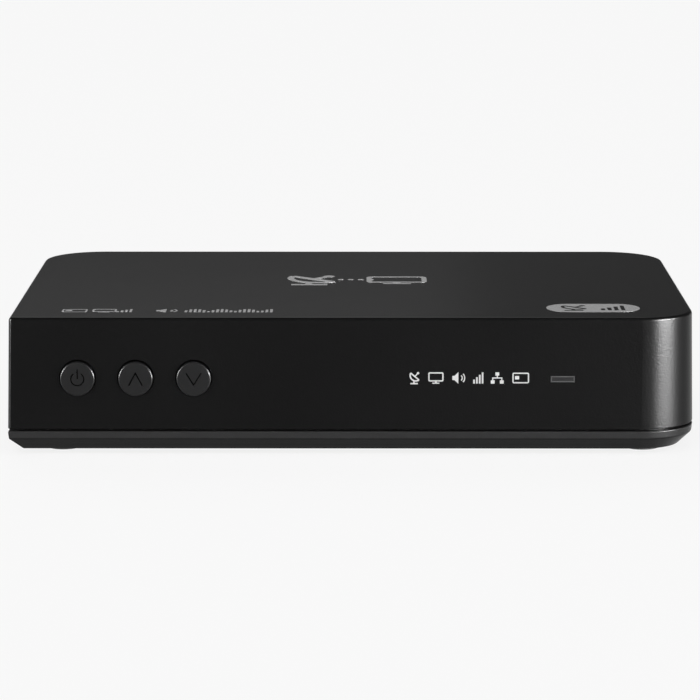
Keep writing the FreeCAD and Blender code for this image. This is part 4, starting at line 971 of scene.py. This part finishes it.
add_sign(badge_signs, dish, 54.5, badge_y, 8.0)
add_sign(badge_signs, levels, 64.0, badge_y, 6.6)
on_badge = Matrix.Translation((0, 0, cover_high.z + 0.02))
print_on("roof_badge_signs", badge_signs, on_badge, cover_plastic)

# ------------ buttons
# Round push buttons of the same black plastic from a smoother tool. Their signs are sunk into their faces
# and filled, up to a little below the face, with a near-black fill that is painted shade for the grooves.
cap_plastic = moulded_plastic(
    "cap_plastic", (0.0172, 0.0172, 0.0177), (0.0188, 0.0188, 0.0193), roughness=0.3, grain=0.0004,
    specular=0.08)
dress(cap_plastic, "power_cap", "up_cap", "down_cap")


def standby(bm):
    """A ring that is open at the top, and a bar through the opening."""
    draw_arc(bm, (0, 0), 1.58, paint_width, 125, 290)
    draw_bar(bm, (0, -0.1), (0, 2.4), paint_width)


def chevron(bm, half_width, height):
    """Two strokes that meet in a point, upwards for a positive height."""
    for side in (-1, 1):
        draw_bar(bm, (side * half_width, -height / 2), (0, height / 2), paint_width)


# Near-black with no gloss at all: painted shade standing for the shade inside the sunk signs.
groove_shade_fill = speckled(
    "groove_shade_fill", (0.0004, 0.0004, 0.0004), (0.0009, 0.0009, 0.0009), roughness=0.9,
    size=0.0003, specular=0.0)
groove_depth, paint_width, paint_depth = 0.4, 0.34, 0.3
for button, draw, details in (
        ("power", standby, ()), ("up", chevron, (1.62, 3.05)), ("down", chevron, (1.78, -2.85))):
    cap, groove_y = centre_of(button + "_cap"), corners(button + "_cap")[0].y + groove_depth
    paint = bmesh.new()
    draw(paint, *details)
    in_groove = Matrix.Translation((cap.x, groove_y, cap.z)) @ upright
    print_on(
        button + "_sign", paint, in_groove, groove_shade_fill, paint_depth, body=button + "_button")

# ------------ status window
# A window of smoked plastic, glued in from behind, for the standby lamp and the infrared receiver. Its
# narrow raised edge is coloured light grey, a painted highlight where its bevel would catch the light.
window_plastic = moulded_plastic(
    "window_plastic", (0.026, 0.026, 0.027), (0.030, 0.030, 0.031), roughness=0.3, grain=0.0004,
    grain_height=0.000005, specular=0.1)
dress(window_plastic, "status_window")
window = centre_of("status_window")
window_width, window_height, edge_width = 5.74, 1.44, 0.22
edge = bmesh.new()
draw_frame(edge, (window.x, window.z), window_width, window_height, edge_width)
# A light grey ring round the window: a painted highlight on its edge.
painted_highlight_edge = moulded_plastic(
    "painted_highlight_edge", (0.120, 0.120, 0.122), (0.140, 0.140, 0.142), roughness=0.2, grain=0.001,
    grain_height=0.000003, specular=0.5)
on_window = Matrix.Translation((0, corners("status_window")[0].y, 0)) @ upright
print_on("window_edge", edge, on_window, painted_highlight_edge, ink_thickness=0.04)

# ------------ case screws
# Four self-cutting steel screws, plated in black zinc. They go up from the underside through the tray's
# posts and hold the case together.
black_zinc = plated_metal(
    "black_zinc", (0.045, 0.045, 0.05), (0.075, 0.075, 0.08), roughness=0.38, grain=0.001)
dress(black_zinc, "case_screws")

# ------------ studio
# A pale floor, a dim even sky, a broad lamp high behind the receiver, a strip low behind it and a bank of
# lamps at each side.


def combine(tree, operation, first, second):
    """The output of an operation on two outputs, or on an output and a number."""
    node = tree.nodes.new("ShaderNodeMath")
    node.operation = operation
    tree.links.new(first, node.inputs[0])
    if isinstance(second, float):
        node.inputs[1].default_value = second
    else:
        tree.links.new(second, node.inputs[1])
    return node.outputs[0]


def make_lamp(name, kind, place, target, **settings):
    """A lamp at a place, turned to a target."""
    data = bpy.data.lights.new(name, kind)
    for key, value in settings.items():
        setattr(data, key, value)
    lamp = bpy.data.objects.new(name, data)
    lamp.location = place
    lamp.rotation_euler = (Vector(target) - Vector(place)).to_track_quat("-Z", "Y").to_euler()
    bpy.context.scene.collection.objects.link(lamp)
    return lamp


floor_reach, white_share = 15.0, 0.85
floor_white = start_material("floor_white", (0.8, 0.8, 0.8), 0.9, specular=0.1)
tree = floor_white.node_tree
rays = tree.nodes.new("ShaderNodeLightPath").outputs
seen = combine(tree, "MAXIMUM", rays["Is Camera Ray"], rays["Is Glossy Ray"])
seen = combine(tree, "MAXIMUM", seen, rays["Is Transmission Ray"])
glow = tree.nodes.new("ShaderNodeEmission")
mix = tree.nodes.new("ShaderNodeMixShader")
tree.links.new(combine(tree, "MULTIPLY", seen, white_share), mix.inputs["Fac"])
tree.links.new(tree.nodes["Principled BSDF"].outputs["BSDF"], mix.inputs[1])
tree.links.new(glow.outputs["Emission"], mix.inputs[2])
tree.links.new(mix.outputs["Shader"], tree.nodes["Material Output"].inputs["Surface"])
bm = bmesh.new()
bmesh.ops.create_grid(bm, x_segments=1, y_segments=1, size=floor_reach)
mesh = bpy.data.meshes.new("floor")
bm.to_mesh(mesh)
bm.free()
mesh.materials.append(floor_white)
floor = bpy.data.objects.new("floor", mesh)
bpy.context.scene.collection.objects.link(floor)

make_lamp("rear_bank", "SUN", (-0.2, 1.0, 1.0), (0, 0, 0), energy=0.58, angle=math.radians(40))
front_fill = make_lamp("front_fill", "SUN", (0.0, -0.6, 1.0), (0, 0, 0), energy=1.7, angle=math.radians(60))
front_fill.visible_glossy = False
for name, place, target, width, height, energy in (
        ("rear_strip", (-0.12, 0.32, 0.17), (-0.02, -0.02, 0.034), 0.34, 0.08, 0.024),
        ("right_bank", (0.584, -0.392, 0.11), (0.07, -0.045, 0.02), 0.38, 0.22, 108.0),
        ("left_bank", (-0.62, -0.36, 0.16), (-0.05, -0.05, 0.02), 0.3, 0.3, 60.0)):
    lamp = make_lamp(name, "AREA", place, target, energy=energy, shape="RECTANGLE", size=width, size_y=height)
    lamp.visible_diffuse = False
world = bpy.data.worlds.new("sky")
world.use_nodes = True
world.node_tree.nodes["Background"].inputs["Color"].default_value = (0.097, 0.097, 0.097, 1)
bpy.context.scene.world = world
bpy.context.scene.view_settings.view_transform = "Standard"
